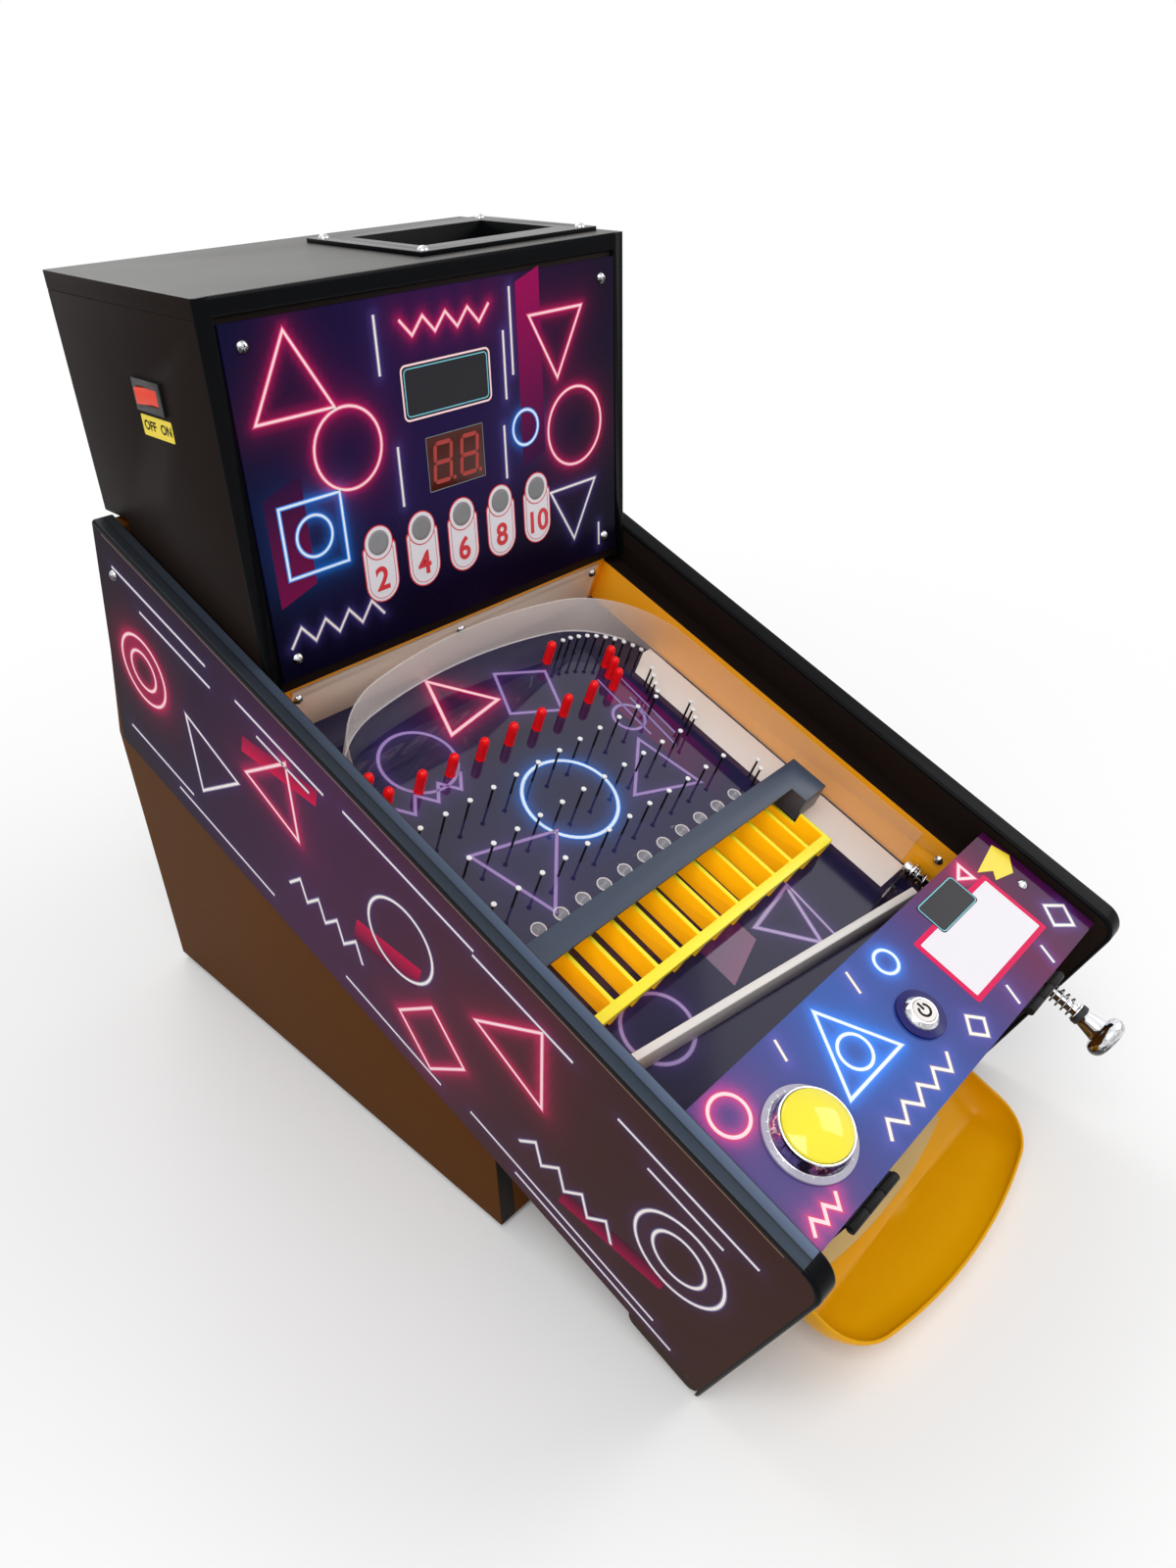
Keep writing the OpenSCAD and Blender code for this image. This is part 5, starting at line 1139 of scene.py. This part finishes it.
# The arch that the strip, the nails and the caps follow, by the same rules as in the part's source
HEAD_FRONT, BOARD_T, HEAD_BOTTOM, WALL_GAP = 241.0, 12.0, 361.5, 5.4
COVER_T, SCREW_H, SLIP = 2.0, 2.8, 0.3
WALL_S = (HEAD_FRONT - BOARD_T - DECK_BACK) * CA + (DECK_Z - HEAD_BOTTOM) * SA + WALL_GAP
ARCH_X = WALL_X - SLIP
CROWN_R, CROWN_A = 433.0, math.radians(12.9)
CROWN_S = WALL_S + COVER_T + SCREW_H + SLIP + CROWN_R
CORNER_R = (ARCH_X - CROWN_R * math.sin(CROWN_A)) / (1 - math.sin(CROWN_A))
CORNER_X = (CROWN_R - CORNER_R) * math.sin(CROWN_A)
CORNER_S = CROWN_S - (CROWN_R - CORNER_R) * math.cos(CROWN_A)
LENS_S, CAP_S = FACE_S - 261.5, FACE_S - 402

# Nails: rows across the field, groups along the lane and an arc under the arch
NAIL_R, NAIL_H, NAIL_HEAD_R, NAIL_HEAD_H = 0.9, 22.0, 2.0, 1.0
NAIL_PITCH, NAIL_COUNT, ROW_GAP, ROW_PITCH = 22.85, 12, 24.9, 38.3
GROUPS = ((CAP_S + 13, 4), (CAP_S + 59, 3), (LENS_S - 5.5, 2))
GROUP_X, GROUP_STEP_X, GROUP_STEP_S = LANE_X + 2, -5.6, 7.4
ARC_R, ARC_FIRST, ARC_STEP, ARC_COUNT = CORNER_R - 31, 4.0, 7.6, 10
nail_at = []
for row in (2, 1, 0):
    count = NAIL_COUNT - row % 2
    row_s = LENS_S - ROW_GAP - row * ROW_PITCH
    nail_at += [(FIELD_X + (i - (count - 1) / 2) * NAIL_PITCH, row_s) for i in range(count)]
for s, count in GROUPS:
    nail_at += [(GROUP_X + GROUP_STEP_X * i, s + GROUP_STEP_S * i) for i in range(count)]
ARC_LAST = ARC_FIRST + ARC_STEP * (ARC_COUNT - 1)
nail_at += arc(CORNER_X, CORNER_S, ARC_R, ARC_FIRST - 90, ARC_LAST - 90, ARC_COUNT - 1)
nails = grown("nails_finished", PINS, PIN_KEYS, on_field(nail_at),
              {"Shaft Radius": NAIL_R * MM, "Height": NAIL_H * MM, "Head Radius": NAIL_HEAD_R * MM,
               "Head Height": NAIL_HEAD_H * MM, "Turn": SQUARE_TO_DECK, "Shaft Finish": NAIL_DARK,
               "Head Finish": NAIL_HEAD})
piece(nails, "cabinet", None, ["nails"])

# Red caps: a row across the field that turns up at both ends, and one under the arch
CAP_LAST, CAP_PITCH, CAP_COUNT = LANE_X - 25, 30.4, 9
CAP_FIRST = CAP_LAST - (CAP_COUNT - 1) * CAP_PITCH
CAP_PROFILE = [(0, 0), (4.1, 0), (4.1, 0.6), (3.9, 1.0), (3.95, 6), (4.05, 17.5), (3.8, 19.4), (3.1, 21.0),
               (2.0, 22.0), (0.9, 22.42), (0, 22.5)]
cap_at = [(CAP_LAST - i * CAP_PITCH, CAP_S) for i in range(CAP_COUNT)]
cap_at += [(CAP_LAST + 7 * i, CAP_S - 11.5 * i) for i in (1, 2)]
cap_at += [(CAP_FIRST - 4, CAP_S - 18), (CORNER_X - 6, CORNER_S - ARC_R - 2)]
repeated("pin_caps_finished", lathe("cap_shape", CAP_PROFILE, 24), on_field(cap_at), SQUARE_TO_DECK, CAP_RED,
         "pin_caps")

# Painted highlight along the foot of the clear arch strip, on its inner face, as a thin white line
STRIP_FOOT_IN, STRIP_FOOT_S = 1.9, FACE_S - 262
foot_highlight = [(STRIP_FOOT_IN - ARCH_X, -STRIP_FOOT_S), (STRIP_FOOT_IN - ARCH_X, -CORNER_S)]
foot_highlight += arc(-CORNER_X, -CORNER_S, CORNER_R - STRIP_FOOT_IN, 176, 104, 18)
foot_highlight += arc(0, -CROWN_S, CROWN_R - STRIP_FOOT_IN, 102, 78, 12)
foot_highlight += arc(CORNER_X, -CORNER_S, CORNER_R - STRIP_FOOT_IN, 76, 32, 11)
stroke("arch_strip_foot", ON_FIELD, [foot_highlight], False, 0.7, 0.0, 0.9, CARD_WHITE,
       "cabinet", SLOT_OF["arch_strip"])

# Lenses in front of the slots and lamps on the head
LENS_PITCH, LENS_COUNT = 22.3, 12
LENS_RIM = [(5.0, -1.8), (5.95, -1.8), (5.95, 0.1), (5.8, 0.2), (5.2, 0.2), (5.0, 0.0), (5.0, -1.8)]
LENS_DISH = [(0, -1.8), (5.0, -1.8), (5.0, -0.9), (4.4, -0.3), (3.9, -0.9), (3.3, -0.3), (2.7, -0.9),
             (2.1, -0.3), (1.5, -0.9), (0.9, -0.3), (0, -0.6)]
LAMP_PROFILE = [(0, -2.8), (8.9, -2.8), (8.9, 0.3), (8.3, 0.6), (6, 0.5), (3, 0.45), (0, 0.4)]
lens_at = on_field([(FIELD_X + (i - (LENS_COUNT - 1) / 2) * LENS_PITCH, LENS_S) for i in range(LENS_COUNT)])
for part, profile, look in (("dish", LENS_DISH, LENS), ("rim", LENS_RIM, CARD_WHITE)):
    shape = lathe("lens_" + part, profile, 32)
    repeated("slot_lenses_" + part, shape, lens_at, SQUARE_TO_DECK, look, "slot_lenses", part == "dish")
lamp_at = [(x, REAR_Y - HEAD_FACE, LAMP_Z) for x in LAMP_X]
repeated("lamp_lenses_finished", lathe("lamp_shape", LAMP_PROFILE, 36), lamp_at, SQUARE_TO_HEAD, LAMP,
         "lamp_lenses")

# Coil springs of round wire
SPRING_R, WIRE_D, CURL_STEPS = 6.6, 1.4, 28
OUTER_S, OUTER_L, OUTER_CURLS = FACE_S + 6, 27.0, 5
INNER_S, INNER_L, INNER_CURLS, PULL = FACE_S - 22, 98.0, 15, 30.0


def coil(node, start_s, length, curls):
    """A spring that starts and ends straight across, along the plunger."""
    steps = curls * CURL_STEPS
    rise = (length - 2 * WIRE_D) / steps
    turns = arc(0, 0, SPRING_R, 0, 360 * curls, steps)
    path = [(SPRING_R, 0.0, 0.0)]
    path += [(*p, WIRE_D + rise * i) for i, p in enumerate(turns)]
    path += [(SPRING_R, 0.0, length)]
    place = basis(deck_point(PLUNGER_X, start_s, PLUNGER_N), (1, 0, 0), UP_N, DOWN)
    name = node + "_finished"
    curve = bpy.data.curves.new(name, "CURVE")
    curve.dimensions = "3D"
    curve.bevel_depth = WIRE_D / 2 * MM
    curve.bevel_resolution = 3
    curve.use_fill_caps = True
    spline = curve.splines.new("POLY")
    spline.points.add(len(path) - 1)
    for point, p in zip(spline.points, path):
        point.co = (*(place @ Vector(p)), 1)
    mesh = smooth(from_curve(name, curve), 50)
    return piece(link(name, mesh), "cabinet", SPRING, [node])


coil("outer_spring", OUTER_S, OUTER_L, OUTER_CURLS)
inner = coil("inner_spring", INNER_S - INNER_L, INNER_L, INNER_CURLS)
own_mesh(inner)

# White strip on the floor of the launch lane, and the smoked flap at its foot
LANE_STRIP = [(131, -281), (157, -267), (166.5, -267), (166.5, -556), (131, -556)]
LANE_FLAP, FLAP_H = [(108, -565), (148, -561.5), (148, -560), (108, -563.5)], 15.0
slab("lane_strip", ON_FIELD, LANE_STRIP, -0.04, 0.2, WHITE, "cabinet", "white_plastic")
slab("lane_flap", ON_FIELD, LANE_FLAP, 0.0, FLAP_H, SMOKED, "cabinet", "black_plastic")

# Black upper ledges of the liners
LEDGE_N, LEDGE_REAR, LEDGE_FRONT = 29, -176, -591
for label, x0, x1 in (("left", -IN_X, -WALL_X), ("right", WALL_X, IN_X)):
    ledge = [(x0, LEDGE_REAR), (x1, LEDGE_REAR), (x1, LEDGE_FRONT), (x0, LEDGE_FRONT)]
    slab("ledge_" + label, deck_frame(LEDGE_N), ledge, -0.05, 0.2, HEAD_BLACK, "cabinet", "black_board")


# Floor, light and camera
def pale_floor():
    """A floor that keeps the shadow near the game and is plain white to the camera further off."""
    material = bpy.data.materials.new("pale_floor")
    material.use_nodes = True
    tree = material.node_tree
    to = tree.links.new
    matte = tree.nodes["Principled BSDF"]
    matte.inputs["Base Color"].default_value = (0.94, 0.94, 0.94, 1)
    matte.inputs["Roughness"].default_value = 0.9
    distance = add(tree, "ShaderNodeVectorMath", operation="LENGTH")
    to(add(tree, "ShaderNodeTexCoord").outputs["Object"], distance.inputs[0])
    fade = add(tree, "ShaderNodeMapRange", interpolation_type="SMOOTHSTEP")
    fade.inputs["From Min"].default_value = 0.35
    fade.inputs["From Max"].default_value = 1.3
    to(distance.outputs["Value"], fade.inputs["Value"])
    ray = add(tree, "ShaderNodeLightPath")
    mix = add(tree, "ShaderNodeMixShader")
    to(maths(tree, "MULTIPLY", fade.outputs["Result"], ray.outputs["Is Camera Ray"]), mix.inputs["Fac"])
    to(matte.outputs[0], mix.inputs[1])
    to(add(tree, "ShaderNodeEmission").outputs[0], mix.inputs[2])
    to(mix.outputs[0], tree.nodes["Material Output"].inputs["Surface"])
    return material


bpy.ops.mesh.primitive_plane_add(size=14)
floor = bpy.context.object
floor.name = "floor"
floor.data.materials.append(pale_floor())


def studio():
    """A white world, at half strength where it only lights the game."""
    world = bpy.data.worlds.new("studio")
    world.use_nodes = True
    tree = world.node_tree
    ray = add(tree, "ShaderNodeLightPath")
    mirror = maths(tree, "MAXIMUM", ray.outputs["Is Glossy Ray"], ray.outputs["Is Transmission Ray"])
    seen = maths(tree, "MAXIMUM", ray.outputs["Is Camera Ray"], mirror)
    background = tree.nodes["Background"]
    background.inputs["Color"].default_value = (1, 1, 1, 1)
    tree.links.new(maths(tree, "MULTIPLY_ADD", seen, 0.5, 0.5), background.inputs["Strength"])
    return world


bpy.context.scene.world = studio()


def lamp(name, place, aim, size, power):
    light = bpy.data.lights.new(name, "AREA")
    light.size = size
    light.energy = power
    obj = link(name, light)
    obj.location = place
    obj.rotation_mode = "QUATERNION"
    obj.rotation_quaternion = (Vector(aim) - Vector(place)).to_track_quat("-Z", "Y")


lamp("key_light", (-1.4, -1.0, 2.4), (0, 0, 0.3), 1.8, 38)
lamp("fill_light", (1.8, -1.2, 1.8), (0, 0, 0.3), 1.6, 18)
lamp("rear_light", (0.2, 1.8, 2.2), (0, 0, 0.4), 1.4, 15)

# The camera stands where the photograph was taken from
YAW, PITCH, ROLL = math.radians(46.35), math.radians(32.93), -0.0221
EYE = (-0.5173, REAR_Y * MM - 0.8615, FOOT_H * MM + 0.7210)
SENSOR, FOCAL_PIXELS, PHOTO_PIXELS = 36, 1124.85, 1600
ahead = Vector((math.sin(YAW) * math.cos(PITCH), math.cos(YAW) * math.cos(PITCH), -math.sin(PITCH)))
right = Vector((math.cos(YAW), -math.sin(YAW), 0))
above = right.cross(ahead)
tilt_right = math.cos(ROLL) * right + math.sin(ROLL) * above
tilt_up = -math.sin(ROLL) * right + math.cos(ROLL) * above
camera = bpy.data.cameras.new("camera")
camera.sensor_width = SENSOR
camera.lens = FOCAL_PIXELS / PHOTO_PIXELS * SENSOR
camera.clip_start = 0.01
tripod = link("camera", camera)
tripod.matrix_world = Matrix.Translation(EYE) @ Matrix((tilt_right, tilt_up, -ahead)).transposed().to_4x4()
bpy.context.scene.camera = tripod
bpy.context.scene.view_settings.view_transform = "Standard"
